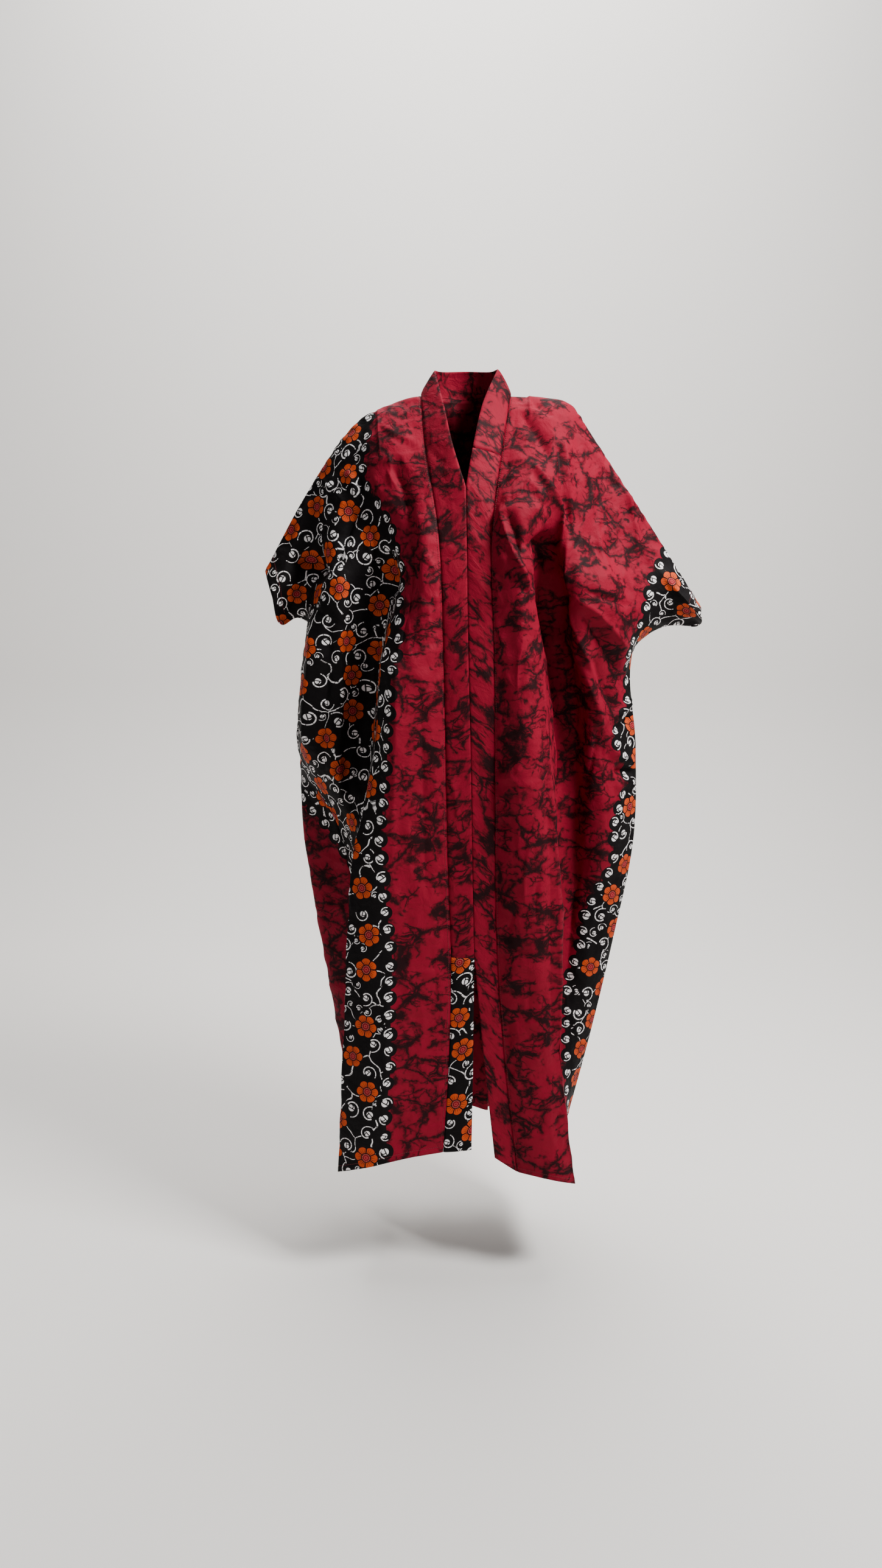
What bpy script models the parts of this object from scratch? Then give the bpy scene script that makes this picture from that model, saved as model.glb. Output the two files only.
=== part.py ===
"""Grand boubou robe: a batwing robe of plain woven cotton, hanging as it is worn.

Units are metres, +Z up, the front looks along -Y.  The origin is the point
between the shoulders where the robe is held.  "Right" and "left" are the
wearer's own: right is -X.  Every cloth piece is one shell of even wall.
"""
import bpy
import numpy as np

WALL = 0.0012            # cloth wall
SEAM_GAP = 0.0003        # clear space left at every seam
CENTRE_SHARE = 0.6       # each band's share of the seam gap where the bands meet in front
MM = 0.001
SIDES = ("right", "left")

ACROSS_PANEL = 4         # mesh steps between two fold lines
ACROSS_BAND = 2          # mesh steps across the neck band
LINE_STEPS = 24          # points worked out between two key points of a line
UPPER_ROWS = (0.0, 0.09, 0.18, 0.27, 0.38, 0.5, 0.62, 0.75, 0.88, 1.0)
SLIT_ROW = 0.586         # where the front slit begins, as a share of the skirt
SKIRT_TOP = -0.42        # level of the first row below the underarm
ROWS_TO_SLIT = 9
ROWS_BELOW_SLIT = 7
PIECING_ROW = 3          # upper row where the neck strip is pieced on the left
V_ROW = 4                # upper row at the foot of the V neck
CUFF_ROW = 5             # first row on the underarm seam rather than on the cuff
CORNER_ROWS = 3          # rows over which the neck's corner on the back fades out
V_FOOT = -0.145          # level below which the two bands lie edge to edge

# Columns of the back grid: right seam, neck corners, left seam.
LINES_A_SIDE = 8
NECK_RIGHT = (LINES_A_SIDE - 1) * ACROSS_PANEL
NECK_LEFT = NECK_RIGHT + 4 * ACROSS_PANEL

# Fold lines run from the shoulder to the hem.  Names of the eight on a side:
#   band, chest, bust, edge, valley, panel, ridge, seam
# Each entry is x, y, z in millimetres.
SHOULDER = {
    "right": ((-75, 0, 0), (-110, 5, -9), (-142, 8, -21), (-165, 10, -32),
              (-194, 12, -56), (-229, 15, -101), (-264, 18, -153), (-334, 30, -272)),
    "left": ((70, 0, 0), (101, 3, -1), (133, 6, -3), (163, 8, -12),
             (193, 10, -48), (234, 12, -106), (297, 16, -196), (391, 30, -331)),
}
COLLARBONE = {
    "right": ((-67, -58, -86), (-95, -72, -107), (-121, -78, -124), (-145, -70, -137),
              (-169, -48, -144), (-201, -35, -179), (-251, 2, -222)),
    "left": ((54, -58, -86), (76, -78, -108), (101, -88, -125), (127, -85, -138),
             (158, -60, -145), (210, -30, -185), (279, -12, -261)),
}
RIBS = {
    "right": ((-48, -108, -203), (-77, -128, -227), (-98, -120, -245), (-117, -92, -267),
              (-135, -50, -281), (-201, -60, -295), (-254, 4, -310)),
    "left": ((37, -108, -203), (57, -128, -218), (79, -134, -232), (99, -118, -245),
             (124, -60, -262), (151, -85, -281), (246, -45, -333)),
}
# Cuff and underarm, down the seam line: the cuff's two lips, then the seam.
CUFF_FRONT = {"right": ((-317, -8, -318),), "left": ((380, -22, -346),)}
CUFF_BACK = {"right": ((-320, 62, -316),), "left": ((386, 84, -346),)}
UNDERARM = {
    "right": ((-305, 30, -363), (-281, 32, -351), (-266, 34, -358)),
    "left": ((387, 30, -364), (330, 30, -366), (302, 28, -380), (281, 26, -402)),
}
# Skirt levels: z, then x, y of the eight fold lines.
SKIRT = {
    "right": (
        (-420, ((-38, -118), (-74, -136), (-110, -140), (-137, -118),
                (-158, -34), (-206, -60), (-260, -32), (-263, 30))),
        (-560, ((-35, -116), (-75, -132), (-122, -140), (-150, -120),
                (-169, -24), (-215, -50), (-265, -20), (-288, 30))),
        (-720, ((-32, -114), (-77, -128), (-139, -138), (-182, -120),
                (-180, -40), (-189, -16), (-203, 8), (-215, 30))),
        (-900, ((-26, -116), (-76, -130), (-149, -142), (-196, -122),
                (-189, -60), (-184, -25), (-184, 5), (-191, 35))),
        (-1080, ((-30, -122), (-78, -135), (-157, -146), (-206, -125),
                 (-198, -62), (-189, -25), (-186, 8), (-191, 40))),
    ),
    "left": (
        (-420, ((41, -118), (64, -130), (90, -135), (116, -118),
                (147, -22), (190, -56), (240, -30), (277, 20))),
        (-560, ((43, -116), (70, -130), (101, -135), (130, -116),
                (154, -12), (208, -38), (256, -16), (288, 18))),
        (-720, ((45, -114), (75, -128), (110, -134), (141, -118),
                (152, -10), (204, -20), (252, -8), (290, 20))),
        (-900, ((50, -118), (81, -132), (118, -138), (150, -122),
                (152, -14), (190, -12), (228, -2), (260, 20))),
        (-1080, ((64, -124), (93, -138), (128, -142), (157, -128),
                 (154, -22), (180, -12), (204, 0), (223, 20))),
    ),
}
HEM = {
    "right": ((-39, -130, -1226), (-87, -142, -1228), (-167, -150, -1243), (-214, -128, -1262),
              (-205, -65, -1268), (-195, -25, -1266), (-191, 10, -1264), (-193, 45, -1260)),
    "left": ((85, -132, -1260), (115, -145, -1261), (150, -150, -1267), (182, -135, -1280),
             (177, -70, -1272), (174, -38, -1268), (177, -8, -1263), (182, 25, -1258)),
}
# Free edge of the neck band: collar top down the V, the closed centre line,
# then the open slit.
V_EDGE = {
    "right": ((-52, 2, 39), (-39, -40, -15), (-23, -82, -88), (-4, -106, -149)),
    "left": ((48, 2, 41), (24, -40, -15), (7, -82, -88), (-4, -106, -149)),
}
CENTRE_LINE = ((-4, -106, -149), (-3, -113, -204), (1, -121, -420),
               (5, -119, -560), (8, -117, -720), (12, -119, -892))
SLIT_EDGE = {
    "right": ((12, -119, -892), (11, -125, -1060), (9, -131, -1221)),
    "left": ((12, -119, -892), (28, -126, -1060), (47, -133, -1234)),
}
NECKLINE = ((-48, 46, 3), (0, 66, 2), (45, 46, 3))       # back neck seam
COLLAR_TOP = ((-40, 38, 43), (0, 53, 46), (37, 38, 43))  # free edge behind the neck

# The back: how far it stands off the mid plane, and its soft hanging folds.
BACK_SHARE = (0.25, 0.36, 0.48, 0.59, 0.70, 0.82, 0.93)
BACK_AT_COLLARBONE = (70, 68, 66, 63, 60, 54, 48)
BACK_AT_RIBS = (106, 104, 101, 96, 90, 82, 64)
BACK_DEPTH = ((-420, 118), (-560, 124), (-720, 126), (-900, 122), (-1080, 112), (-1260, 100))
BACK_FOLD = ((-420, 3), (-560, 6), (-720, 9), (-900, 12), (-1080, 14), (-1260, 16))
FOLD_PATTERN = (0.1, 1.0, 0.2, -1.0, -0.1, 0.9, 0.0)
CENTRE_PATTERN = (-0.9, 0.6, -0.9)
BACK_LEVELS = (-420, -560, -720, -900, -1080)
BACK_HEM_ROW = -1260                  # row of the tables read at the hem
BACK_HEM = -1258                      # level of the hem
CENTRE_HEM = -1256                    # level of the hem at the centre back
BACK_DROPS = (0.26, 0.62)             # collarbone and ribs, as shares of the way to the waist
CENTRE_DEPTHS = (78, 110)             # how far the centre back stands off at those two
CENTRE_PLACES = (-45, 0, 45)          # x of the three centre back fold lines
WING_FOLD = (0.86, 30)                # inner fold of the wing: share of its x, extra depth
# x, y of the back's outer fold on the right, which stands out past the front.
BACK_WING = {
    -420: (-268, 78), -560: (-286, 76), -720: (-284, 74),
    -900: (-260, 76), -1080: (-233, 80), -1260: (-209, 88),
}

# One cloth of its own for each piece.
CLOTH_COLOURS = {
    "front_right": (0.42, 0.02, 0.035, 1.0),
    "front_left": (0.40, 0.02, 0.035, 1.0),
    "back": (0.38, 0.02, 0.035, 1.0),
    "neck_band": (0.36, 0.015, 0.03, 1.0),
    "front_band_left": (0.34, 0.015, 0.03, 1.0),
    "front_band_tail": (0.03, 0.028, 0.03, 1.0),
}
CLOTH_ROUGHNESS = 0.7


def clear_scene():
    for item in list(bpy.data.objects):
        bpy.data.objects.remove(item, do_unlink=True)


def metres(rows):
    return [np.array(row, dtype=float) * MM for row in rows]


def looked_up(table, z_mm):
    """Read a (z, value) table, z falling."""
    zs = [row[0] for row in table][::-1]
    values = [row[1] for row in table][::-1]
    return float(np.interp(z_mm, zs, values))


def unit(vectors):
    return vectors / np.maximum(np.linalg.norm(vectors, axis=-1, keepdims=True), 1e-12)


def tangents(points):
    """Lengths between the points, and a smooth line's slopes at them."""
    steps = [max(np.linalg.norm(b - a), 1e-6) for a, b in zip(points, points[1:])]
    slopes = [(points[1] - points[0]) / steps[0]]
    for i in range(1, len(points) - 1):
        before = (points[i] - points[i - 1]) / steps[i - 1]
        after = (points[i + 1] - points[i]) / steps[i]
        share = steps[i - 1] / (steps[i - 1] + steps[i])
        slopes.append(before * (1.0 - share) + after * share)
    slopes.append((points[-1] - points[-2]) / steps[-1])
    return steps, slopes


def hermite(start, end, slope_start, slope_end, length, t):
    h00 = 2 * t ** 3 - 3 * t ** 2 + 1
    h10 = t ** 3 - 2 * t ** 2 + t
    h01 = -2 * t ** 3 + 3 * t ** 2
    h11 = t ** 3 - t ** 2
    return h00 * start + h10 * length * slope_start + h01 * end + h11 * length * slope_end


def fine_line(points, before=None):
    """A close row of points along a smooth line; `before` leads into its start."""
    chain = list(points) if before is None else [before] + list(points)
    first = len(chain) - len(points)
    steps, slopes = tangents(chain)
    line = []
    for i in range(first, len(chain) - 1):
        for k in range(LINE_STEPS):
            t = k / LINE_STEPS
            line.append(hermite(chain[i], chain[i + 1], slopes[i], slopes[i + 1], steps[i], t))
    line.append(chain[-1])
    return np.array(line)


def split_at_skirt(line):
    """The stretches of a line above and below the top of the skirt."""
    last = int(np.nonzero(line[:, 2] >= SKIRT_TOP - 1e-9)[0][-1])
    low, high = line[last], line[last + 1]
    t = (low[2] - SKIRT_TOP) / max(low[2] - high[2], 1e-9)
    meeting = low + (high - low) * t
    return np.vstack([line[:last + 1], meeting]), np.vstack([meeting, line[last + 1:]])


def at_shares(line, shares):
    """Points at shares of a line's length."""
    lengths = np.concatenate([[0.0], np.cumsum(np.linalg.norm(np.diff(line, axis=0), axis=1))])
    wanted = np.array(shares) * lengths[-1]
    return np.stack([np.interp(wanted, lengths, line[:, axis]) for axis in range(3)], axis=1)


def even_shares(count):
    """`count` even steps after 0, up to 1."""
    return np.arange(1, count + 1) / count


def skirt_shares():
    below = SLIT_ROW + (1.0 - SLIT_ROW) * even_shares(ROWS_BELOW_SLIT)
    return np.concatenate([SLIT_ROW * even_shares(ROWS_TO_SLIT), below])


def fold_line_rows(points, before=None):
    """Mesh rows down one fold line."""
    upper, skirt = split_at_skirt(fine_line(points, before))
    levels = SKIRT_TOP + (skirt[-1][2] - SKIRT_TOP) * skirt_shares()
    order = np.argsort(skirt[:, 2])
    columns = [np.interp(levels, skirt[order, 2], skirt[order, axis]) for axis in range(3)]
    return np.vstack([at_shares(upper, UPPER_ROWS), np.stack(columns, axis=1)])


def edge_rows(side):
    """Mesh rows down the free edge of the neck band."""
    v_share = UPPER_ROWS[V_ROW]
    neck = at_shares(fine_line(metres(V_EDGE[side])), np.array(UPPER_ROWS[:V_ROW + 1]) / v_share)
    upper, skirt = split_at_skirt(fine_line(metres(CENTRE_LINE)))
    chest = at_shares(upper, (np.array(UPPER_ROWS[V_ROW + 1:]) - v_share) / (1.0 - v_share))
    closed = at_shares(skirt, even_shares(ROWS_TO_SLIT))
    slit = at_shares(fine_line(metres(SLIT_EDGE[side])), even_shares(ROWS_BELOW_SLIT))
    return np.vstack([neck, chest, closed, slit])


def seam_keys(side, cuff):
    """Key points down a side seam, from the shoulder over one half of the cuff."""
    keys = [SHOULDER[side][-1]] + list(cuff[side]) + list(UNDERARM[side])
    keys += [row[-1] + (z,) for z, row in SKIRT[side]]
    return keys + [HEM[side][-1]]


def front_keys(side):
    """Key points down each of the eight front fold lines."""
    lines = []
    for j in range(LINES_A_SIDE - 1):
        keys = [SHOULDER[side][j], COLLARBONE[side][j], RIBS[side][j]]
        keys += [row[j] + (z,) for z, row in SKIRT[side]]
        lines.append(metres(keys + [HEM[side][j]]))
    return lines + [metres(seam_keys(side, CUFF_FRONT))]


def seam_at(side, z_mm):
    """x, y of the side seam at a skirt level."""
    return dict((z, row[-1]) for z, row in SKIRT[side]).get(z_mm, HEM[side][-1][:2])


def back_level(side, j, z_mm):
    """x, y of a back fold line at a skirt level."""
    outer_x, seam_y = seam_at(side, z_mm)
    if side == "right":
        outer_x, wing_y = BACK_WING[z_mm]
        if j == 6:
            return outer_x, wing_y
        if j == 5:
            return outer_x * WING_FOLD[0], wing_y + WING_FOLD[1]
    share = BACK_SHARE[j]
    depth = looked_up(BACK_DEPTH, z_mm)
    y = seam_y + (depth - seam_y) * (1.0 - share ** 4)
    return outer_x * share, y + looked_up(BACK_FOLD, z_mm) * FOLD_PATTERN[j]


def back_keys(side):
    """Key points down each of the eight back fold lines, from the same shoulder points."""
    lines = []
    for j in range(LINES_A_SIDE - 1):
        top = SHOULDER[side][j]
        waist_x = back_level(side, j, SKIRT_TOP / MM)[0]
        keys = [top]
        for drop, depths in zip(BACK_DROPS, (BACK_AT_COLLARBONE, BACK_AT_RIBS)):
            x = top[0] + (waist_x - top[0]) * drop
            keys.append((x, depths[j], top[2] + (SKIRT_TOP / MM - top[2]) * drop))
        keys += [back_level(side, j, z) + (z,) for z in BACK_LEVELS]
        keys.append(back_level(side, j, BACK_HEM_ROW) + (BACK_HEM,))
        lines.append(metres(keys))
    return lines + [metres(seam_keys(side, CUFF_BACK))]


def centre_back_keys():
    lines = []
    for top, place, fold in zip(NECKLINE, CENTRE_PLACES, CENTRE_PATTERN):
        keys = [top]
        for drop, depth in zip(BACK_DROPS, CENTRE_DEPTHS):
            keys.append((top[0] * (1 - drop) + place * drop, depth, SKIRT_TOP / MM * drop))
        for z in BACK_LEVELS + (BACK_HEM_ROW,):
            y = looked_up(BACK_DEPTH, z) + looked_up(BACK_FOLD, z) * fold
            keys.append((place, y, max(z, CENTRE_HEM)))
        lines.append(metres(keys))
    return lines


def across(points, corners_at, corner_share):
    """Spread mesh points across one row of fold-line points."""
    lengths, slopes = tangents(points)
    leaving, arriving = list(slopes), list(slopes)
    for i in corners_at:
        before = (points[i] - points[i - 1]) / lengths[i - 1]
        after = (points[i + 1] - points[i]) / lengths[i]
        arriving[i] = slopes[i] * (1 - corner_share) + before * corner_share
        leaving[i] = slopes[i] * (1 - corner_share) + after * corner_share
    row = []
    for i in range(len(points) - 1):
        for k in range(ACROSS_PANEL):
            t = k / ACROSS_PANEL
            row.append(hermite(points[i], points[i + 1], leaving[i], arriving[i + 1], lengths[i], t))
    row.append(points[-1])
    return np.array(row)


def surface(lines, corners_at=()):
    """Grid of points: rows down the robe, columns across it."""
    grid = []
    for i in range(len(lines[0])):
        corner_share = max(0.0, 1.0 - i / CORNER_ROWS)
        grid.append(across([line[i] for line in lines], corners_at, corner_share))
    return np.array(grid)


def panel_grids():
    """The two fronts and the back, which share their shoulder and side seams."""
    fronts, backs = {}, {}
    for side in SIDES:
        pairs = list(zip(front_keys(side), back_keys(side)))
        front = [fold_line_rows(f, before=b[1]) for f, b in pairs]
        backs[side] = [fold_line_rows(b, before=f[1]) for f, b in pairs]
        backs[side][-1][CUFF_ROW:] = front[-1][CUFF_ROW:]
        fronts[side] = surface(front)
    centre = [fold_line_rows(keys) for keys in centre_back_keys()]
    lines = backs["right"][::-1] + centre + backs["left"]
    return fronts, surface(lines, corners_at=(LINES_A_SIDE - 1, LINES_A_SIDE + 3))


def band_strip(fronts, back):
    """The neck band: up the left front, round the neck and down the right front."""
    edge = {side: edge_rows(side) for side in SIDES}
    neck_outer = back[0, NECK_RIGHT:NECK_LEFT + 1]
    collar = [edge["right"][0]] + metres(COLLAR_TOP) + [edge["left"][0]]
    neck_inner = at_shares(fine_line(collar), np.linspace(0.0, 1.0, len(neck_outer)))
    outer = np.vstack([fronts["left"][::-1, 0][:-1], neck_outer[::-1], fronts["right"][1:, 0]])
    inner = np.vstack([edge["left"][::-1][:-1], neck_inner[::-1], edge["right"][1:]])
    share = np.linspace(0.0, 1.0, ACROSS_BAND + 1)[None, :, None]
    return inner[:, None, :] * (1 - share) + outer[:, None, :] * share


def normals_of(grid, probe, outward_y):
    """Unit normals, turned so that the one at `probe` looks towards `outward_y`."""
    normal = unit(np.cross(np.gradient(grid, axis=0), np.gradient(grid, axis=1)))
    return normal * np.sign(normal[probe][1] * outward_y)


def strip_index(side, rows, strip_rows):
    """Rows of the neck strip that lie along one front, from the shoulder down."""
    return np.arange(rows - 1, -1, -1) if side == "left" else np.arange(strip_rows - rows, strip_rows)


def share_panel_seams(fronts, back):
    """Give both sides of the shoulder and side seams one normal."""
    columns = {"right": np.arange(NECK_RIGHT, -1, -1), "left": np.arange(NECK_LEFT, back.shape[1])}
    for side, seam_column in (("right", 0), ("left", -1)):
        mean = unit(fronts[side][0] + back[0, columns[side]])
        fronts[side][0] = mean
        back[0, columns[side]] = mean
        mean = unit(fronts[side][CUFF_ROW:, -1] + back[CUFF_ROW:, seam_column])
        fronts[side][CUFF_ROW:, -1] = mean
        back[CUFF_ROW:, seam_column] = mean


def share_band_seams(fronts, back, band):
    """Give both sides of the band's seam one normal."""
    rows = len(back)
    for side in SIDES:
        index = strip_index(side, rows, len(band))
        mean = unit(fronts[side][:, 0] + band[index, -1])
        fronts[side][:, 0] = mean
        band[index, -1] = mean
    behind = slice(rows, len(band) - rows)
    neck = slice(NECK_LEFT - 1, NECK_RIGHT, -1)
    band[behind, -1] = unit(band[behind, -1] + back[0, neck])
    back[0, NECK_LEFT:NECK_RIGHT - 1:-1] = band[rows - 1:len(band) - rows + 1, -1]


def closed_front(points):
    """1 where the two bands lie edge to edge, 0 where they part."""
    return np.where(points[:, 2] < V_FOOT, 1.0, 0.0)


def seam_normals(fronts, back, strip):
    """Normals of every grid, common along the seams."""
    middle = (len(back) // 2, ACROSS_PANEL)
    front_normals = {side: normals_of(fronts[side], middle, -1.0) for side in SIDES}
    back_normals = normals_of(back, (-4, back.shape[1] // 2), 1.0)
    band_normals = normals_of(strip, (4, 0), -1.0)
    share_panel_seams(front_normals, back_normals)
    share_band_seams(front_normals, back_normals, band_normals)
    band_normals[:, 0, 0] *= 1.0 - closed_front(strip[:, 0])
    band_normals[:, 0] = unit(band_normals[:, 0])
    return front_normals, back_normals, band_normals


def draw_back(edge, inside, normal, share=0.5):
    """Move a seam edge back into its own piece by its share of the seam gap."""
    aside = unit(np.cross(normal, np.gradient(edge, axis=0)))
    sign = np.sign(np.sum(aside * (inside - edge), axis=1, keepdims=True))
    sign[sign == 0] = 1
    return edge + aside * sign * SEAM_GAP * share


def drawn_front(grid, normal):
    """A front panel with its shoulder, side and band edges drawn back."""
    moved = grid.copy()
    moved[0] = draw_back(grid[0], grid[1], normal[0])
    moved[CUFF_ROW:, -1] = draw_back(grid[CUFF_ROW:, -1], grid[CUFF_ROW:, -2], normal[CUFF_ROW:, -1])
    moved[:, 0] += draw_back(grid[:, 0], grid[:, 1], normal[:, 0]) - grid[:, 0]
    return moved


def drawn_back_panel(grid, normal):
    """The back panel with its top and side edges drawn back."""
    moved = grid.copy()
    moved[0] = draw_back(grid[0], grid[1], normal[0])
    low = slice(CUFF_ROW, None)
    for edge, inside in ((0, 1), (-1, -2)):
        moved[low, edge] = draw_back(grid[low, edge], grid[low, inside], normal[low, edge])
    return moved


def drawn_strip(strip, normal, rows):
    """The neck strip with its seam edge drawn back and its two fronts parted."""
    moved = strip.copy()
    moved[:, -1] = draw_back(strip[:, -1], strip[:, -2], normal[:, -1], share=1.0)
    parted = SEAM_GAP * CENTRE_SHARE * closed_front(strip[:, 0])
    moved[:rows - 1, 0, 0] += parted[:rows - 1]
    moved[1 - rows:, 0, 0] -= parted[1 - rows:]
    return moved


def shell(name, grid, normal):
    """Close a grid of points into one thin cloth piece."""
    rows, columns = grid.shape[:2]
    points = np.vstack([grid.reshape(-1, 3), (grid - normal * WALL).reshape(-1, 3)])
    count = rows * columns
    faces = []
    for i in range(rows - 1):
        for j in range(columns - 1):
            a = i * columns + j
            b, c, d = a + 1, a + columns + 1, a + columns
            faces.append((a, b, c, d))
            faces.append((a + count, d + count, c + count, b + count))
    rim = list(range(columns))
    rim += [i * columns + columns - 1 for i in range(1, rows)]
    rim += [(rows - 1) * columns + j for j in range(columns - 2, -1, -1)]
    rim += [i * columns for i in range(rows - 2, 0, -1)]
    for a, b in zip(rim, rim[1:] + rim[:1]):
        faces.append((b, a, a + count, b + count))
    mesh = bpy.data.meshes.new(name)
    mesh.from_pydata([tuple(point) for point in points], [], faces)
    if signed_volume(mesh) < 0:
        mesh.flip_normals()
    mesh.shade_smooth()
    mesh.materials.append(cloth(name))
    bpy.context.scene.collection.objects.link(bpy.data.objects.new(name, mesh))


def signed_volume(mesh):
    """Six times the volume inside a mesh, negative if it is inside out."""
    total = 0.0
    for face in mesh.polygons:
        corner, *others = [mesh.vertices[k].co for k in face.vertices]
        for first, second in zip(others, others[1:]):
            total += corner.dot(first.cross(second))
    return total


def cloth(name):
    material = bpy.data.materials.new(name + "_cloth")
    material.use_nodes = True
    shader = material.node_tree.nodes["Principled BSDF"]
    shader.inputs["Base Color"].default_value = CLOTH_COLOURS[name]
    shader.inputs["Roughness"].default_value = CLOTH_ROUGHNESS
    material.diffuse_color = CLOTH_COLOURS[name]
    return material


def band_pieces(strip, normal, rows):
    """Cut the neck strip at its piecing seam and at the slit, and close the three pieces."""
    piecing = rows - 1 - PIECING_ROW
    last = len(strip) - 1
    slit = last - ROWS_BELOW_SLIT
    for name, start, end in (("front_band_left", 0, piecing), ("neck_band", piecing, slit),
                             ("front_band_tail", slit, last)):
        grid = strip[start:end + 1].copy()
        if start > 0:
            grid[0] += unit(grid[1] - grid[0]) * SEAM_GAP * 0.5
        if end < last:
            grid[-1] += unit(grid[-2] - grid[-1]) * SEAM_GAP * 0.5
        shell(name, grid, normal[start:end + 1])


def build():
    clear_scene()
    fronts, back = panel_grids()
    strip = band_strip(fronts, back)
    front_normals, back_normals, band_normals = seam_normals(fronts, back, strip)
    for side in SIDES:
        shell("front_" + side, drawn_front(fronts[side], front_normals[side]), front_normals[side])
    shell("back", drawn_back_panel(back, back_normals), back_normals)
    rows = len(back)
    band_pieces(drawn_strip(strip, band_normals, rows), band_normals, rows)


build()
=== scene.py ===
"""Looks of the grand boubou robe: the printed cotton, its folds, creases and stitching.

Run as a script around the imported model, or read as a Blender add-on: each piece has
an operator, the sizes and colours a maker would change are properties, and the panel
in the sidebar lists them.  Units are metres unless a name says millimetres.
"""
import math

import bpy
import numpy as np
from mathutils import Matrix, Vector, noise


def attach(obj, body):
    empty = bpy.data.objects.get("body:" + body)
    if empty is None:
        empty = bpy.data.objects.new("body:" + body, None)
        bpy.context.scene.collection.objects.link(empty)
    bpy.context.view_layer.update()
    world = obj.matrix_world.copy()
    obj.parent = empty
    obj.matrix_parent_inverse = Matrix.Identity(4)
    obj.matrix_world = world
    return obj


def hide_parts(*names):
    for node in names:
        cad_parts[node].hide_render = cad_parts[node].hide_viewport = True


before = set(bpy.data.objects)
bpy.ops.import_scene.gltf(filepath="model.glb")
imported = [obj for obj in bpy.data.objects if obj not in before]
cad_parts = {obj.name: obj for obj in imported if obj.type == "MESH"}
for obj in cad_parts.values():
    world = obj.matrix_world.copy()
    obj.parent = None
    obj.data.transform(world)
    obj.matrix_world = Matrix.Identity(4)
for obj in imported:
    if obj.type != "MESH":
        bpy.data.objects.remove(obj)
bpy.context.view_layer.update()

bl_info = {
    "name": "Grand Boubou Robe",
    "version": (1, 0, 0),
    "blender": (4, 5, 0),
    "location": "View3D > Sidebar > Robe",
    "description": "Builds the cloth, print, seams and stage of a batwing boubou robe",
    "category": "Object",
}

MM = 0.001

# ---------------------------------------------------------------------------
# The robe's fold lines: the same named sizes as the solids, in millimetres.
# Fold lines on a side: band, chest, bust, edge, valley, panel, ridge, seam.
# "right" and "left" are the wearer's; right is -X.  Each entry is x, y, z.
# ---------------------------------------------------------------------------
SIDES = ("right", "left")
SKIRT_TOP = -0.42
SLIT_ROW = 0.586
PIECING_SHARE = 0.27
V_SHARE = 0.38
CUFF_SHARE = 0.5
CUFF_BLEND = 0.38

SHOULDER = {
    "right": (
        (-75, 0, 0), (-110, 5, -9), (-142, 8, -21), (-165, 10, -32), (-194, 12, -56), (-229, 15, -101),
        (-264, 18, -153), (-334, 30, -272)),
    "left": (
        (70, 0, 0), (101, 3, -1), (133, 6, -3), (163, 8, -12), (193, 10, -48), (234, 12, -106),
        (297, 16, -196), (391, 30, -331)),
}
COLLARBONE = {
    "right": (
        (-67, -58, -86), (-95, -72, -107), (-121, -78, -124), (-145, -70, -137), (-169, -48, -144),
        (-201, -35, -179), (-251, 2, -222)),
    "left": (
        (54, -58, -86), (76, -78, -108), (101, -88, -125), (127, -85, -138), (158, -60, -145),
        (210, -30, -185), (279, -12, -261)),
}
RIBS = {
    "right": (
        (-48, -108, -203), (-77, -128, -227), (-98, -120, -245), (-117, -92, -267), (-135, -50, -281),
        (-201, -60, -295), (-254, 4, -310)),
    "left": (
        (37, -108, -203), (57, -128, -218), (79, -134, -232), (99, -118, -245), (124, -60, -262),
        (151, -85, -281), (246, -45, -333)),
}
# Cuff and underarm, down the seam line: one point on the cuff, then the seam.
CUFF_FRONT = {"right": (-317, -8, -318), "left": (380, -22, -346)}
CUFF_BACK = {"right": (-320, 62, -316), "left": (386, 84, -346)}
UNDERARM = {
    "right": ((-305, 30, -363), (-281, 32, -351), (-266, 34, -358)),
    "left": ((387, 30, -364), (330, 30, -366), (302, 28, -380), (281, 26, -402)),
}
# Skirt levels: z, then x, y of the eight fold lines.
SKIRT = {
    "right": {
        -420: ((-38, -118), (-74, -136), (-110, -140), (-137, -118), (-158, -34),
               (-206, -60), (-260, -32), (-263, 30)),
        -560: ((-35, -116), (-75, -132), (-122, -140), (-150, -120), (-169, -24),
               (-215, -50), (-265, -20), (-288, 30)),
        -720: ((-32, -114), (-77, -128), (-139, -138), (-182, -120), (-180, -40),
               (-189, -16), (-203, 8), (-215, 30)),
        -900: ((-26, -116), (-76, -130), (-149, -142), (-196, -122), (-189, -60),
               (-184, -25), (-184, 5), (-191, 35)),
        -1080: ((-30, -122), (-78, -135), (-157, -146), (-206, -125), (-198, -62),
               (-189, -25), (-186, 8), (-191, 40)),
    },
    "left": {
        -420: ((41, -118), (64, -130), (90, -135), (116, -118), (147, -22),
               (190, -56), (240, -30), (277, 20)),
        -560: ((43, -116), (70, -130), (101, -135), (130, -116), (154, -12),
               (208, -38), (256, -16), (288, 18)),
        -720: ((45, -114), (75, -128), (110, -134), (141, -118), (152, -10),
               (204, -20), (252, -8), (290, 20)),
        -900: ((50, -118), (81, -132), (118, -138), (150, -122), (152, -14),
               (190, -12), (228, -2), (260, 20)),
        -1080: ((64, -124), (93, -138), (128, -142), (157, -128), (154, -22),
               (180, -12), (204, 0), (223, 20)),
    },
}
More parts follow.
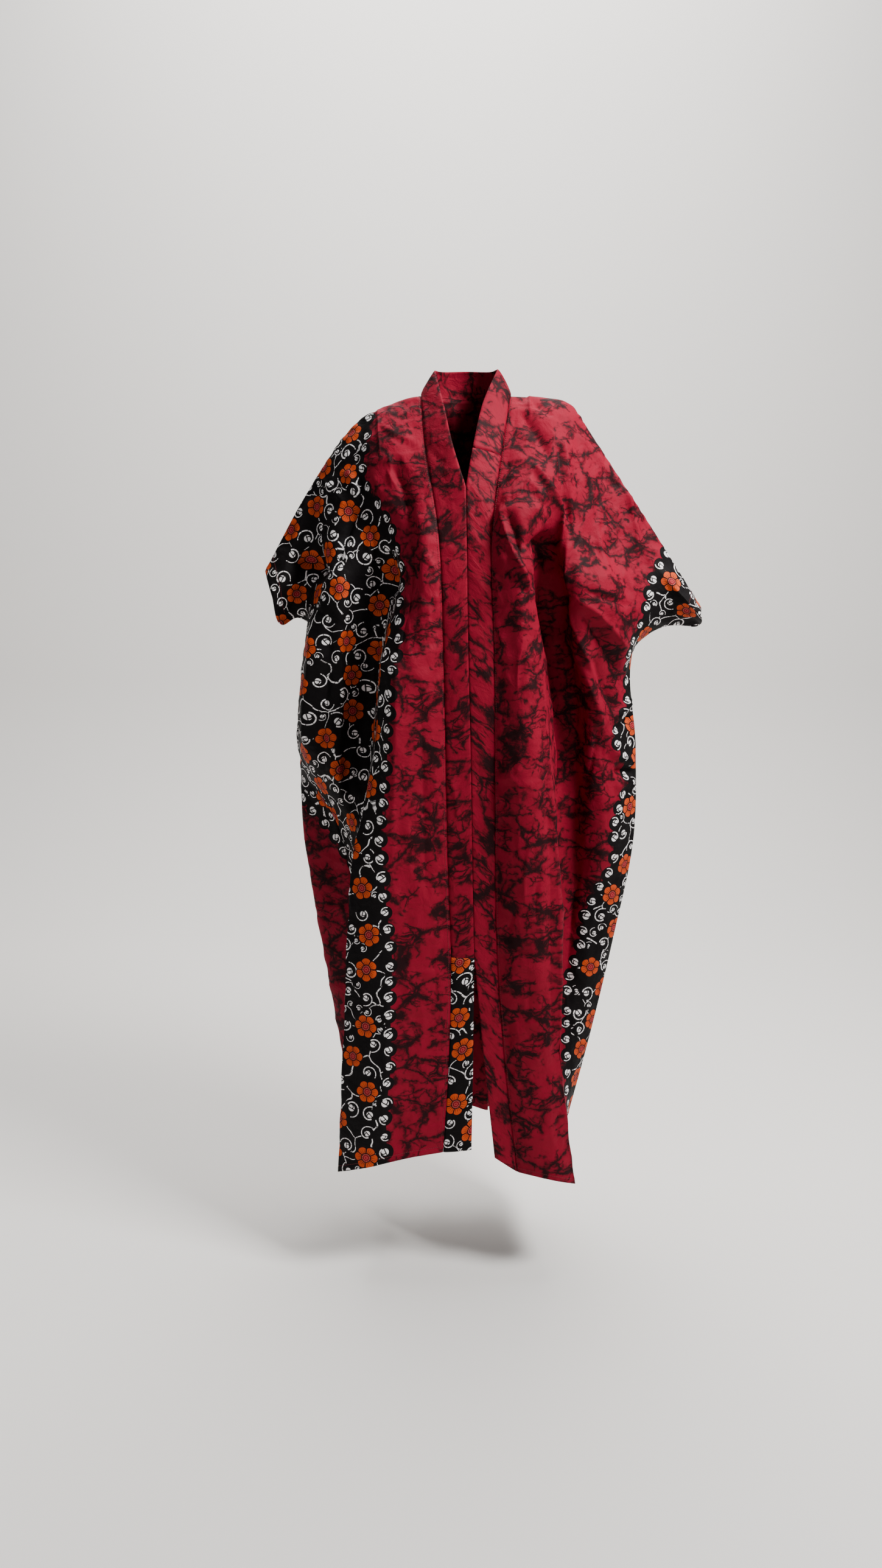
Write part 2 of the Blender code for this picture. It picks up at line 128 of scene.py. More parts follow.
HEM = {
    "right": (
        (-39, -130, -1226), (-87, -142, -1228), (-167, -150, -1243), (-214, -128, -1262),
        (-205, -65, -1268), (-195, -25, -1266), (-191, 10, -1264), (-193, 45, -1260)),
    "left": (
        (85, -132, -1260), (115, -145, -1261), (150, -150, -1267), (182, -135, -1280), (177, -70, -1272),
        (174, -38, -1268), (177, -8, -1263), (182, 25, -1258)),
}
# Free edge of the neck band: collar top down the V, the closed centre line,
# then the open slit.
V_EDGE = {
    "right": ((-52, 2, 39), (-39, -40, -15), (-23, -82, -88), (-4, -106, -149)),
    "left": ((48, 2, 41), (24, -40, -15), (7, -82, -88), (-4, -106, -149)),
}
CENTRE_LINE = ((-4, -106, -149), (-3, -113, -204), (1, -121, -420),
               (5, -119, -560), (8, -117, -720), (12, -119, -892))
SLIT_EDGE = {
    "right": ((12, -119, -892), (11, -125, -1060), (9, -131, -1221)),
    "left": ((12, -119, -892), (28, -126, -1060), (47, -133, -1234)),
}
NECKLINE = ((-48, 46, 3), (0, 66, 2), (45, 46, 3))       # back neck seam
COLLAR_TOP = ((-40, 38, 43), (0, 53, 46), (37, 38, 43))  # free edge behind the neck

# The back: how far it stands off the mid plane, and its soft hanging folds.
BACK_SHARE = (0.25, 0.36, 0.48, 0.59, 0.70, 0.82, 0.93)
BACK_AT_COLLARBONE = (70, 68, 66, 63, 60, 54, 48)
BACK_AT_RIBS = (106, 104, 101, 96, 90, 82, 64)
BACK_DEPTH = {-420: 118, -560: 124, -720: 126, -900: 122, -1080: 112, -1260: 100}
BACK_FOLD = {-420: 3, -560: 6, -720: 9, -900: 12, -1080: 14, -1260: 16}
FOLD_PATTERN = (0.1, 1.0, 0.2, -1.0, -0.1, 0.9, 0.0)
CENTRE_PATTERN = (-0.9, 0.6, -0.9)
BACK_HEM = -1258                      # level of the hem
CENTRE_HEM = -1256                    # level of the hem at the centre back
BACK_DROPS = (0.26, 0.62)             # collarbone and ribs, as shares of the way to the waist
CENTRE_DEPTHS = (78, 110)             # how far the centre back stands off at those two
CENTRE_PLACES = (-45, 0, 45)          # x of the three centre back fold lines
WING_FOLD = (0.86, 30)                # inner fold of the wing: share of its x, extra depth
# x, y of the back's outer fold on the right, which stands out past the front.
BACK_WING = {
    -420: (-268, 78), -560: (-286, 76), -720: (-284, 74),
    -900: (-260, 76), -1080: (-233, 80), -1260: (-209, 88),
}

# Where the printed border begins on each front: x, z in millimetres, from the top down.
BORDER_EDGE = {
    "right": (
        (-144, -20), (-151, -58), (-156, -99), (-166, -126), (-151, -155), (-124, -185), (-108, -220),
        (-101, -270), (-98, -384), (-113, -446), (-117, -530), (-124, -620), (-131, -670), (-124, -786),
        (-113, -885), (-118, -962), (-116, -1064), (-126, -1142), (-123, -1300)),
    "left": (
        (323, -236), (312, -252), (296, -275), (287, -306), (282, -337), (276, -366), (260, -391),
        (256, -415), (262, -440), (262, -468), (256, -505), (237, -536), (240, -562), (254, -580),
        (270, -600), (262, -634), (250, -660), (238, -690), (243, -725), (244, -768), (226, -790),
        (209, -818), (196, -850), (192, -900), (178, -945), (168, -975), (168, -1062), (186, -1300)),
}
# Border width on the back, from the side seam inward: row position, width in mm.
# Row position runs 0 to 1 from the shoulder to the underarm, 1 to 2 down the skirt.
BACK_BORDER = {
    "right": ((0.0, 300), (0.5, 270), (1, 215), (1.16, 150), (1.25, 92), (1.36, 28), (1.5, -30), (2, -60)),
    "left": ((0.0, 105), (0.5, 80), (1, 45), (1.3, 50), (1.6, 75), (2, 95)),
}

# Mesh fineness.
LINES_A_SIDE = 8
FRONT_FOLD = 3                        # fold line of the front's outer edge
NECK_RIGHT = 7                        # fold lines of the back where the neck seam ends
NECK_LEFT = 11
LINE_STEPS = 24
BAND_SLANT = 0.6                      # lean of the closed seam edges beside the bands
NECK_SLANT = 0.9
FOLD_EDGE_SHARPNESS = 0.85
FOLD_EDGE_START = 0.8                 # share of the length where the front's outer fold turns crisp
FOLD_EDGE_RISE = 0.3
PANEL_STEPS = 26
BACK_STEPS = 12
BAND_STEPS = 16
UPPER_COUNT = 84
SKIRT_TO_SLIT = 68
SKIRT_BELOW_SLIT = 40
HEM_FROM = 0.975                      # share of the skirt where the turned hem begins
HEM_ROWS = 9
NEAR = 1e-9
FACING_FRONT = 4                      # column of a front that is known to face forwards
FACING_BAND = (4, 2)                  # row and column of the band
CLOSED_LEVEL = -0.145                 # below it the two bands meet at the centre

# Laying the panels flat for the print.
FLAT_STRIDE = 3
FLAT_ROUNDS = 900
FLAT_MOMENTUM = 0.95
PRINT_SEED = {"front_panel_right": 4, "front_panel_left": 9, "back_panel": 12, "band_tail": 3,
              "band_left": 6, "band_neck": 7}


def metres(rows):
    return [np.array(row, dtype=float) * MM for row in rows]


def line_at(line, runs, stops):
    """Places on a line at distances along it."""
    return np.stack([np.interp(stops, runs, line[:, axis]) for axis in range(line.shape[1])], axis=1)


# ---------------------------------------------------------------------------
# Smooth lines and surfaces
# ---------------------------------------------------------------------------
def tangents(points):
    """Lengths between the points, and a smooth line's slopes at them."""
    steps = [max(np.linalg.norm(b - a), 1e-6) for a, b in zip(points, points[1:])]
    slopes = [(points[1] - points[0]) / steps[0]]
    for i in range(1, len(points) - 1):
        before = (points[i] - points[i - 1]) / steps[i - 1]
        after = (points[i + 1] - points[i]) / steps[i]
        share = steps[i - 1] / (steps[i - 1] + steps[i])
        slopes.append(before * (1.0 - share) + after * share)
    slopes.append((points[-1] - points[-2]) / steps[-1])
    return steps, slopes


def hermite(start, end, slope_start, slope_end, length, t):
    h00 = 2 * t ** 3 - 3 * t ** 2 + 1
    h10 = t ** 3 - 2 * t ** 2 + t
    h01 = -2 * t ** 3 + 3 * t ** 2
    h11 = t ** 3 - t ** 2
    return h00 * start + h10 * length * slope_start + h01 * end + h11 * length * slope_end


def fine_line(points, before=None):
    """A close row of points along a smooth line; `before` leads into its start."""
    chain = list(points)
    if before is not None:
        chain = [before] + chain
    steps, slopes = tangents(chain)
    first = 1 if before is not None else 0
    line = []
    for i in range(first, len(chain) - 1):
        for k in range(LINE_STEPS):
            t = k / LINE_STEPS
            line.append(hermite(chain[i], chain[i + 1], slopes[i], slopes[i + 1], steps[i], t))
    line.append(chain[-1])
    return np.array(line)


def split_at_skirt(line):
    """The stretches of a line above and below the top of the skirt."""
    last = int(np.nonzero(line[:, 2] >= SKIRT_TOP - NEAR)[0][-1])
    low, high = line[last], line[last + 1]
    t = (low[2] - SKIRT_TOP) / max(low[2] - high[2], NEAR)
    meeting = low + (high - low) * t
    return np.vstack([line[:last + 1], meeting]), np.vstack([meeting, line[last + 1:]])


def at_shares(line, shares):
    """Points at shares of a line's length."""
    runs = runs_of(line)
    return line_at(line, runs, np.array(shares) * runs[-1])


def upper_shares():
    """Row places from the shoulder to the underarm, with rows on the piecing and the V."""
    marks = (0.0, PIECING_SHARE, V_SHARE, CUFF_SHARE, 1.0)
    shares = []
    for low, high in zip(marks[:-1], marks[1:]):
        count = max(2, round((high - low) * UPPER_COUNT))
        shares += list(np.linspace(low, high, count, endpoint=False))
    return np.array(shares + [1.0])


def skirt_shares():
    """Row places down the skirt, closer together in the turned hem."""
    to_slit = np.linspace(0.0, SLIT_ROW, SKIRT_TO_SLIT + 1)[1:]
    below = np.linspace(SLIT_ROW, HEM_FROM, SKIRT_BELOW_SLIT + 1)[1:]
    turned = np.linspace(HEM_FROM, 1.0, HEM_ROWS)[1:]
    return np.concatenate([to_slit, below, turned])


def fold_line_rows(points, before=None):
    """Mesh rows down one fold line."""
    upper, skirt = split_at_skirt(fine_line(points, before))
    top = at_shares(upper, upper_shares())
    levels = SKIRT_TOP + (skirt[-1][2] - SKIRT_TOP) * skirt_shares()
    order = np.argsort(skirt[:, 2])
    columns = [np.interp(levels, skirt[order, 2], skirt[order, axis]) for axis in range(3)]
    return np.vstack([top, np.stack(columns, axis=1)])


def edge_rows(side):
    """Mesh rows down the free edge of the neck band."""
    shares = upper_shares()
    in_v = shares[shares <= V_SHARE + NEAR]
    past_v = shares[shares > V_SHARE + NEAR]
    neck = at_shares(fine_line(metres(V_EDGE[side])), in_v / V_SHARE)
    upper, skirt = split_at_skirt(fine_line(metres(CENTRE_LINE)))
    chest = at_shares(upper, (past_v - V_SHARE) / (1.0 - V_SHARE))
    down = skirt_shares()
    to_slit = at_shares(skirt, down[down <= SLIT_ROW + NEAR] / SLIT_ROW)
    below = (down[down > SLIT_ROW + NEAR] - SLIT_ROW) / (1.0 - SLIT_ROW)
    slit = at_shares(fine_line(metres(SLIT_EDGE[side])), below)
    return np.vstack([neck, chest, to_slit, slit])


def seam_keys(side, cuff):
    """Key points down a side seam, from the shoulder over one half of the cuff."""
    keys = [SHOULDER[side][-1], cuff[side], *UNDERARM[side]]
    keys += [row[-1] + (z,) for z, row in SKIRT[side].items()]
    return keys + [HEM[side][-1]]


def seam_at(side, z_mm):
    """x, y of the side seam at a skirt level."""
    return SKIRT[side].get(z_mm, HEM[side])[-1][:2]


def front_keys(side):
    """Key points down each of the eight front fold lines."""
    lines = []
    for j in range(LINES_A_SIDE - 1):
        keys = [SHOULDER[side][j], COLLARBONE[side][j], RIBS[side][j]]
        keys += [row[j] + (z,) for z, row in SKIRT[side].items()]
        lines.append(metres(keys + [HEM[side][j]]))
    return lines + [metres(seam_keys(side, CUFF_FRONT))]


def back_level(side, j, z_mm):
    """x, y of a back fold line at a skirt level."""
    outer_x, seam_y = seam_at(side, z_mm)
    if side == "right":
        outer_x, wing_y = BACK_WING[z_mm]
        if j == 6:
            return outer_x, wing_y
        if j == 5:
            return outer_x * WING_FOLD[0], wing_y + WING_FOLD[1]
    share = BACK_SHARE[j]
    y = seam_y + (BACK_DEPTH[z_mm] - seam_y) * (1.0 - share ** 4)
    return outer_x * share, y + BACK_FOLD[z_mm] * FOLD_PATTERN[j]


def back_keys(side):
    """Key points down each of the eight back fold lines, from the same shoulder points."""
    lines = []
    for j in range(LINES_A_SIDE - 1):
        top = SHOULDER[side][j]
        waist_x = back_level(side, j, SKIRT_TOP / MM)[0]
        keys = [top]
        for drop, depths in zip(BACK_DROPS, (BACK_AT_COLLARBONE, BACK_AT_RIBS)):
            x = top[0] + (waist_x - top[0]) * drop
            keys.append((x, depths[j], top[2] + (SKIRT_TOP / MM - top[2]) * drop))
        keys += [back_level(side, j, z) + (max(z, BACK_HEM),) for z in BACK_DEPTH]
        lines.append(metres(keys))
    return lines + [metres(seam_keys(side, CUFF_BACK))]


def centre_back_keys():
    lines = []
    for top, place, fold in zip(NECKLINE, CENTRE_PLACES, CENTRE_PATTERN):
        keys = [top]
        for drop, depth in zip(BACK_DROPS, CENTRE_DEPTHS):
            keys.append((top[0] * (1 - drop) + place * drop, depth, SKIRT_TOP / MM * drop))
        for z, depth in BACK_DEPTH.items():
            keys.append((place, depth + BACK_FOLD[z] * fold, max(z, CENTRE_HEM)))
        lines.append(metres(keys))
    return lines


def across(points, steps, corners):
    """Spread mesh points across one row of fold-line points; `corners` says how sharp places are."""
    points = list(points)
    lengths, slopes = tangents(points)
    leaving, arriving = list(slopes), list(slopes)
    for index, corner in corners.items():
        before = (points[index] - points[index - 1]) / lengths[index - 1]
        after = (points[index + 1] - points[index]) / lengths[index]
        arriving[index] = slopes[index] * (1 - corner) + before * corner
        leaving[index] = slopes[index] * (1 - corner) + after * corner
    t = (np.arange(steps) / steps)[:, None]
    row = []
    for i in range(len(points) - 1):
        row.append(hermite(points[i], points[i + 1], leaving[i], arriving[i + 1], lengths[i], t))
    row.append(points[-1][None, :])
    return np.vstack(row)


def surface(lines, steps, neck_corners=(), fold_edges=()):
    """Grid of points: rows down the robe, columns across it."""
    shares = np.concatenate([upper_shares(), 1.0 + skirt_shares()])
    grid = []
    for i, share in enumerate(shares):
        corners = {index: max(0.0, 1.0 - share / PIECING_SHARE) for index in neck_corners}
        risen = min(1.0, max(0.0, (share - FOLD_EDGE_START) / FOLD_EDGE_RISE))
        corners.update({index: FOLD_EDGE_SHARPNESS * risen for index in fold_edges})
        grid.append(across([line[i] for line in lines], steps, corners))
    return np.array(grid)


def unit(vectors):
    return vectors / np.maximum(np.linalg.norm(vectors, axis=-1, keepdims=True), 1e-12)


def normals_of(grid):
    return unit(np.cross(np.gradient(grid, axis=0), np.gradient(grid, axis=1)))


def run_along(grid, axis):
    """Distance along a grid's rows or columns, from its first point."""
    steps = np.linalg.norm(np.diff(grid, axis=axis), axis=2)
    zero = np.zeros_like(np.take(steps, [0], axis=axis))
    return np.concatenate([zero, np.cumsum(steps, axis=axis)], axis=axis)


def runs_of(line):
    """Distance along a line at each of its points."""
    return run_along(line[None], 1)[0]


# ---------------------------------------------------------------------------
# Creases: soft troughs (-) and ridges (+), in millimetres.  Each entry is the
# half width, the height, and x, z of the points it follows, seen from the front.
# ---------------------------------------------------------------------------
CREASES = {
    "front_right": (
        (5, 1.6, -141, -47, -112, -66, -86, -77, -70, -87), (5, -1.6, -137, -59, -106, -75, -74, -90),
        (3, 1, -68, -88, -86, -94, -112, -103), (5, 2, -129, -118, -116, -140, -109, -146),
        (5, -1.6, -119, -118, -106, -134, -95, -153), (3, 1, -106, -99, -93, -116, -76, -126),
        (3, 1, -111, -181, -91, -178, -72, -175), (3, -1, -106, -167, -87, -167, -70, -164),
        (4, 1.4, -94, -184, -74, -193, -57, -196), (4, 1.6, -63, -245, -50, -272, -46, -296, -48, -331),
        (3, -1.4, -80, -277, -74, -302, -57, -324, -46, -334), (9, 4, -190, -113, -175, -151, -173, -177),
        (9, -7, -170, -118, -167, -156, -184, -201, -198, -234, -208, -276),
        (12, 6, -151, -203, -156, -251, -163, -287), (8, -4, -135, -236, -129, -287, -127, -315),
        (14, -9, -292, -252, -248, -266, -215, -286), (6, 3, -251, -154, -271, -199, -286, -233),
        (5, 3, -234, -129, -205, -155, -195, -168), (3, 2, -114, -910, -66, -916, -39, -918),
        (10, 5, -241, -343, -251, -430, -264, -529, -260, -589),
        (10, -5, -217, -333, -224, -431, -237, -530, -237, -621),
        (8, -3, -152, -341, -156, -426, -161, -521),
        (7, 3.4, -202, -371, -197, -459, -205, -558, -214, -658),
        (9, 2.4, -113, -341, -111, -500, -119, -694), (9, -2.2, -74, -443, -69, -606, -66, -793),
        (9, 2.2, -125, -874, -130, -1020, -139, -1190),
    ),
    "front_left": (
        (11, -4, 80, -24, 101, -56, 122, -90, 130, -109),
        (7, 7, 99, -109, 121, -146, 141, -175, 147, -213, 145, -246),
        (6, -4, 128, -140, 150, -172, 158, -206, 157, -240),
        (7, 4, 150, -190, 156, -226, 152, -262, 144, -300), (6, 3, 87, -136, 106, -159, 118, -173),
        (5, 5.5, 45, -171, 61, -232, 76, -264, 89, -301, 93, -323),
        (8, -4, 58, -185, 73, -232, 88, -264, 100, -305),
        (4, 2.4, 149, -65, 153, -111, 160, -173, 166, -224), (5, -2.8, 141, -78, 143, -121, 148, -156),
        (4, 2.4, 213, -166, 206, -214, 213, -250, 223, -281), (4, 2.2, 257, -156, 274, -208, 275, -257),
        (5, 2.6, 165, -54, 204, -93, 248, -141, 299, -207), (4, 2.4, 248, -272, 265, -306, 268, -351),
        (4, -2.6, 174, -302, 217, -321, 261, -329), (5, 3.2, 164, -314, 199, -339, 231, -373, 250, -397),
        (7, 5, 150, -321, 164, -354, 186, -397, 207, -446),
        (9, -5, 177, -336, 207, -376, 238, -428, 249, -450),
        (14, -6, 46, -246, 88, -234, 127, -229, 148, -217), (16, 5, 48, -188, 80, -186, 116, -183),
        (4, 2.4, 34, -630, 69, -614, 109, -598, 127, -590), (4, 2, 34, -598, 65, -590, 89, -574),
        (6, 5, 290, -603, 268, -583, 239, -566), (6, -5, 290, -606, 271, -604, 245, -599),
        (6, 5, 282, -474, 268, -493, 246, -515), (6, -5, 284, -505, 269, -521, 243, -538),
        (6, 4.5, 289, -629, 271, -622, 247, -629), (10, 6, 166, -382, 195, -450, 216, -503, 230, -545),
        (9, -5, 197, -407, 227, -465, 248, -506), (10, -4, 220, -519, 210, -582, 194, -633),
        (9, -3, 112, -450, 124, -600, 131, -760, 136, -900, 142, -1060),
        (7, 5, 131, -450, 144, -600, 150, -760, 154, -900, 159, -1060),
        (3, 2, 31, -921, 62, -928, 94, -932), (4, 2.2, -2, -598, 8, -635, 30, -678),
        (4, 2.2, 40, -603, 82, -592),
    ),
    "back": (
        (10, 5, -70, -40, -120, -110, -160, -210), (10, 5, 66, -36, 118, -112, 170, -230),
        (8, -4, -40, -60, -66, -140, -84, -240), (8, -4, 36, -60, 60, -150, 90, -250),
        (9, -5, -170, -110, -224, -200, -262, -290), (9, -5, 176, -100, 240, -190, 300, -290),
        (8, 5, -190, -90, -250, -190, -292, -280), (8, 5, 200, -90, 270, -190, 340, -300),
        (6, 3, -120, -60, -180, -150, -215, -250), (6, 3, 120, -60, 190, -160, 232, -270),
        (10, 6, -214, -340, -232, -440, -238, -560), (10, -5, -190, -330, -205, -450, -214, -590),
        (10, 6, 214, -350, 232, -450, 240, -570), (10, -5, 190, -340, 206, -460, 214, -600),
        (6, -3, -20, 0, -24, -60, -30, -130), (6, 3, 22, -6, 26, -70, 30, -140),
        (9, 3, -60, -420, -66, -600, -60, -780), (9, -3, 70, -430, 76, -620, 72, -800),
        (5, 2.5, -90, -880, -50, -894, -10, -900), (5, -2, 20, -870, 60, -884, 96, -896),
        (8, 3, -150, -820, -154, -960, -150, -1100), (8, -3, 150, -800, 152, -930, 146, -1060),
        (4, 4, 284, -600, 262, -590, 240, -572), (4, -4, 286, -500, 262, -520, 240, -540),
        (4, 2.5, -200, -330, -150, -350, -90, -345), (4, 2.5, 210, -340, 150, -362, 96, -352),
    ),
}
BAND_CREASES = (
    (1.6, -1.5, -67, -84, -48, -102, -28, -119), (3, 0.9, -62, -76, -46, -78, -30, -84),
    (3, -0.9, 8, -150, 22, -156, 36, -152), (3, 1, -40, -240, -24, -246, -8, -238),
    (3, 1.1, -30, -590, -20, -620, -14, -660), (3, -1, 6, -600, 18, -612, 34, -606),
    (3, 1, 4, -560, 20, -556, 38, -548), (3, -0.9, -36, -500, -20, -508, -2, -504),
)
# The deep hollows and the swells beside them, in the same form, which the creases lie on.
DEEP_FOLDS = {
    "front_right": (
        (33, -25, -118, -100, -98, -180, -90, -250, -98, -330, -118, -420),
        (26, 10, -206, -150, -215, -230, -228, -330, -236, -450),
        (20, -12, -166, -250, -176, -330, -190, -430, -196, -560, -190, -700),
    ),
    "front_left": (
        (19, -22, 122, -220, 128, -290, 138, -360, 152, -420, 166, -480, 172, -560, 176, -640,
         180, -720, 184, -800, 180, -900, 176, -1040),
        (20, -16, 118, -214, 128, -262, 134, -330, 146, -390),
        (8, 5, 92, -232, 100, -280, 106, -330, 122, -390, 140, -440, 150, -500, 154, -600),
        (30, 18, 196, -250, 216, -300, 232, -350, 244, -400, 246, -450),
        (22, 9, 236, -600, 230, -700, 222, -800), (56, 11, 66, -430, 70, -600, 66, -800, 60, -960),
        (20, 8, 76, -190, 84, -240, 88, -300),
    ),
    "back": (),
}
# Random creases of each panel: seed, count and greatest height.
RANDOM_CREASES = {"front_right": (11, 70, 1.3), "front_left": (23, 90, 1.9), "back": (37, 120, 1.2)}
RANDOM_HALF_WIDTH = (1.8, 5.0)
RANDOM_LENGTH = (25.0, 110.0)
RANDOM_BEND = 0.35
RANDOM_HEIGHT = 0.3                   # least height
CREASE_ENDS = 0.8                     # width at a crease's ends, and what its middle adds
CREASE_MIDDLE = 0.4
DEEP_ROUNDNESS = 1.5

# Uneven waves of hanging cloth: shift of the noise, its cell, how far it is stretched
# down the cloth, whether its ridges are crisp, and its height in millimetres.
PANEL_WAVES = ((0.0, 0.055, 2.2, False, 1.0), (3.0, 0.13, 2.0, False, 2.0),
               (5.0, 0.042, 1.6, True, 0.9), (9.0, 0.021, 1.2, True, 0.4))
PUCKERS = (13.0, 0.034, 0.24, False, 2.4)
PUCKER_REACH = 0.022
BAND_RIPPLES = (0.0, 0.03, 1.5, True, 0.3)
BAND_SWELLS = (0.0, 0.09, 2.4, False, 0.8)
FOLDS_CLEAR = 0.042                   # the folds and creases die out this close to a seam
CREASES_CLEAR = 0.012
HEM_CALM = 0.05                       # height over which the hem calms them
HEM_LIVELINESS = 0.35
HEM_THICKENING = 0.0006
SEAM_SINK = 0.0009                    # depth and half width of a seam's hollow
SEAM_HALF_WIDTH = 0.0024


def crease_height(across_mm, up_mm, creases, roundness=1.15):
    """Sum of the creases' heights at places seen from the front."""
    total = np.zeros_like(across_mm)
    for half_width, height, *line in creases:
        points = np.array(line, dtype=float).reshape(-1, 2)
        spans = np.linalg.norm(np.diff(points, axis=0), axis=1)
        nearest = np.full_like(across_mm, np.inf)
        along = np.zeros_like(across_mm)
        passed = 0.0
        for (x, z), (dx, dz), span in zip(points, np.diff(points, axis=0), spans):
            t = np.clip(((across_mm - x) * dx + (up_mm - z) * dz) / span ** 2, 0.0, 1.0)
            distance = np.hypot(across_mm - x - dx * t, up_mm - z - dz * t)
            closer = distance < nearest
            nearest = np.where(closer, distance, nearest)
            along = np.where(closer, (passed + span * t) / spans.sum(), along)
            passed += span
        fade = 1.0 - np.abs(along * 2 - 1) ** 4
        width = half_width * (CREASE_ENDS + CREASE_MIDDLE * np.sin(along * math.pi))
        total += height * fade * np.exp(-(nearest / width) ** roundness)
    return total


def small_creases(name, across_mm, up_mm):
    """Short uneven creases of pressed cotton, scattered over a panel."""
    seed, count, highest = RANDOM_CREASES[name]
    pick = np.random.default_rng(seed)
    made = []
    for _ in range(count):
        x = pick.uniform(across_mm.min(), across_mm.max())
        z = pick.uniform(up_mm.min(), up_mm.max())
        steep = math.pi / 2 + pick.uniform(-1.0, 1.0) ** 3 * math.pi / 2
        length = pick.uniform(*RANDOM_LENGTH)
        bend = steep + pick.uniform(-RANDOM_BEND, RANDOM_BEND)
        middle = (x + math.cos(steep) * length / 2, z + math.sin(steep) * length / 2)
        end = (middle[0] + math.cos(bend) * length / 2, middle[1] + math.sin(bend) * length / 2)
        height = pick.choice((-1, 1)) * pick.uniform(RANDOM_HEIGHT, highest)
        made.append((pick.uniform(*RANDOM_HALF_WIDTH), height, x, z, *middle, *end))
    return crease_height(across_mm, up_mm, made)


def waves(grid, shift, cell, stretch, crisp, height):
    """Uneven waves over a grid, in millimetres."""
    scale = (cell, cell, cell * stretch)
    lift = [noise.noise(Vector(place)) for place in ((grid + shift) / scale).reshape(-1, 3)]
    lift = np.array(lift).reshape(grid.shape[:2])
    return (0.5 - np.abs(lift) * 2 if crisp else lift) * height


# ---------------------------------------------------------------------------
# The robe's cloth, worked out once and shared by the pieces
# ---------------------------------------------------------------------------
ROBE = {}


def robe_cloth():
    """Grids, normals and cloth places of every panel and band."""
    if ROBE:
        return ROBE
    cloth = bpy.context.scene.robe_cloth
    shares = np.concatenate([upper_shares(), 1.0 + skirt_shares()])
    lines_front, lines_back = {}, {}
    for side in SIDES:
        keys_f, keys_b = front_keys(side), back_keys(side)
        lines_front[side] = [fold_line_rows(f, before=b[1]) for f, b in zip(keys_f, keys_b)]
        lines_back[side] = [fold_line_rows(b, before=f[1]) for f, b in zip(keys_f, keys_b)]
        joined = np.clip((shares - CUFF_BLEND) / (CUFF_SHARE - CUFF_BLEND), 0.0, 1.0)[:, None]
        lines_back[side][-1] = lines_back[side][-1] * (1 - joined) + lines_front[side][-1] * joined
    centre = [fold_line_rows(keys) for keys in centre_back_keys()]
    fronts = {side: surface(lines_front[side], PANEL_STEPS, fold_edges=(FRONT_FOLD,)) for side in SIDES}
    back_lines = lines_back["right"][::-1] + centre + lines_back["left"]
    back = surface(back_lines, BACK_STEPS, neck_corners=(NECK_RIGHT, NECK_LEFT))

    bare = {"front_right": fronts["right"], "front_left": fronts["left"], "back": back}
    for name, grid in bare.items():
        normal = normals_of(grid)
        outward, column = (1.0, grid.shape[1] // 2) if name == "back" else (-1.0, FACING_FRONT)
        if normal[len(grid) // 2, column, 1] * outward < 0:
            normal *= -1.0
        ROBE[name] = {"grid": grid, "normal": normal, "shares": shares}
    make_strip(fronts, back, shares)
    match_seams(shares)
    for name in bare:
        dress_panel(name, cloth)
    return ROBE


def corners_of(points):
    """The four corners of every cell of a grid."""
    return np.stack([points[:-1, :-1], points[:-1, 1:], points[1:, 1:], points[1:, :-1]], axis=2)


def flattened(grid, home):
    """Lay a panel flat, as it was cut, keeping each cell's shape; `home` is its upright column."""
    every_row, every_column = np.arange(grid.shape[0]), np.arange(grid.shape[1])
    rows = np.unique(np.append(every_row[::FLAT_STRIDE], every_row[-1]))
    columns = np.unique(np.append(every_column[::FLAT_STRIDE], every_column[-1]))
    coarse = grid[np.ix_(rows, columns)]
    flat = np.stack([run_along(coarse, 1), -run_along(coarse, 0)], axis=2)
    cells = corners_of(coarse)
    cells = cells - cells.mean(axis=2, keepdims=True)
    aside = unit(cells[:, :, 1] + cells[:, :, 2] - cells[:, :, 0] - cells[:, :, 3])
    up = cells[:, :, 0] + cells[:, :, 1] - cells[:, :, 2] - cells[:, :, 3]
    up = unit(up - aside * np.sum(up * aside, axis=2, keepdims=True))
    rest = np.stack([np.sum(cells * way[:, :, None], axis=3) for way in (aside, up)], axis=3)
    turned = np.stack([-rest[..., 1], rest[..., 0]], axis=3)
    places = (np.s_[:-1, :-1], np.s_[:-1, 1:], np.s_[1:, 1:], np.s_[1:, :-1])
    shared = np.zeros(flat.shape[:2] + (1,))
    for place in places:
        shared[place] += 1
    speed = np.zeros_like(flat)
    for _ in range(FLAT_ROUNDS):
        now = corners_of(flat)
        off = now - now.mean(axis=2, keepdims=True)
        along = np.sum(off * rest, axis=(2, 3), keepdims=True)
        askew = np.sum(off * turned, axis=(2, 3), keepdims=True)
        length = np.hypot(along, askew)
        move = rest * (along / length) + turned * (askew / length) - off
        pull = np.zeros_like(flat)
        for k, place in enumerate(places):
            pull[place] += move[:, :, k]
        speed = speed * FLAT_MOMENTUM + pull / shared
        flat += speed
    upright = int(np.argmin(np.abs(columns - home)))
    below_chest = len(rows) // 3
    down = flat[-1, upright] - flat[below_chest, upright]
    turn = -math.pi / 2 - math.atan2(down[1], down[0])
    spin = np.array([[math.cos(turn), -math.sin(turn)], [math.sin(turn), math.cos(turn)]])
    flat = (flat - flat[below_chest, upright]) @ spin.T
    flat[:, :, 1] -= flat[0, upright, 1]
    fine = np.empty(grid.shape[:2] + (2,))
    for axis in range(2):
        wide = np.array([np.interp(every_column, columns, line) for line in flat[:, :, axis]])
        fine[:, :, axis] = np.array([np.interp(every_row, rows, line) for line in wide.T]).T
    return fine


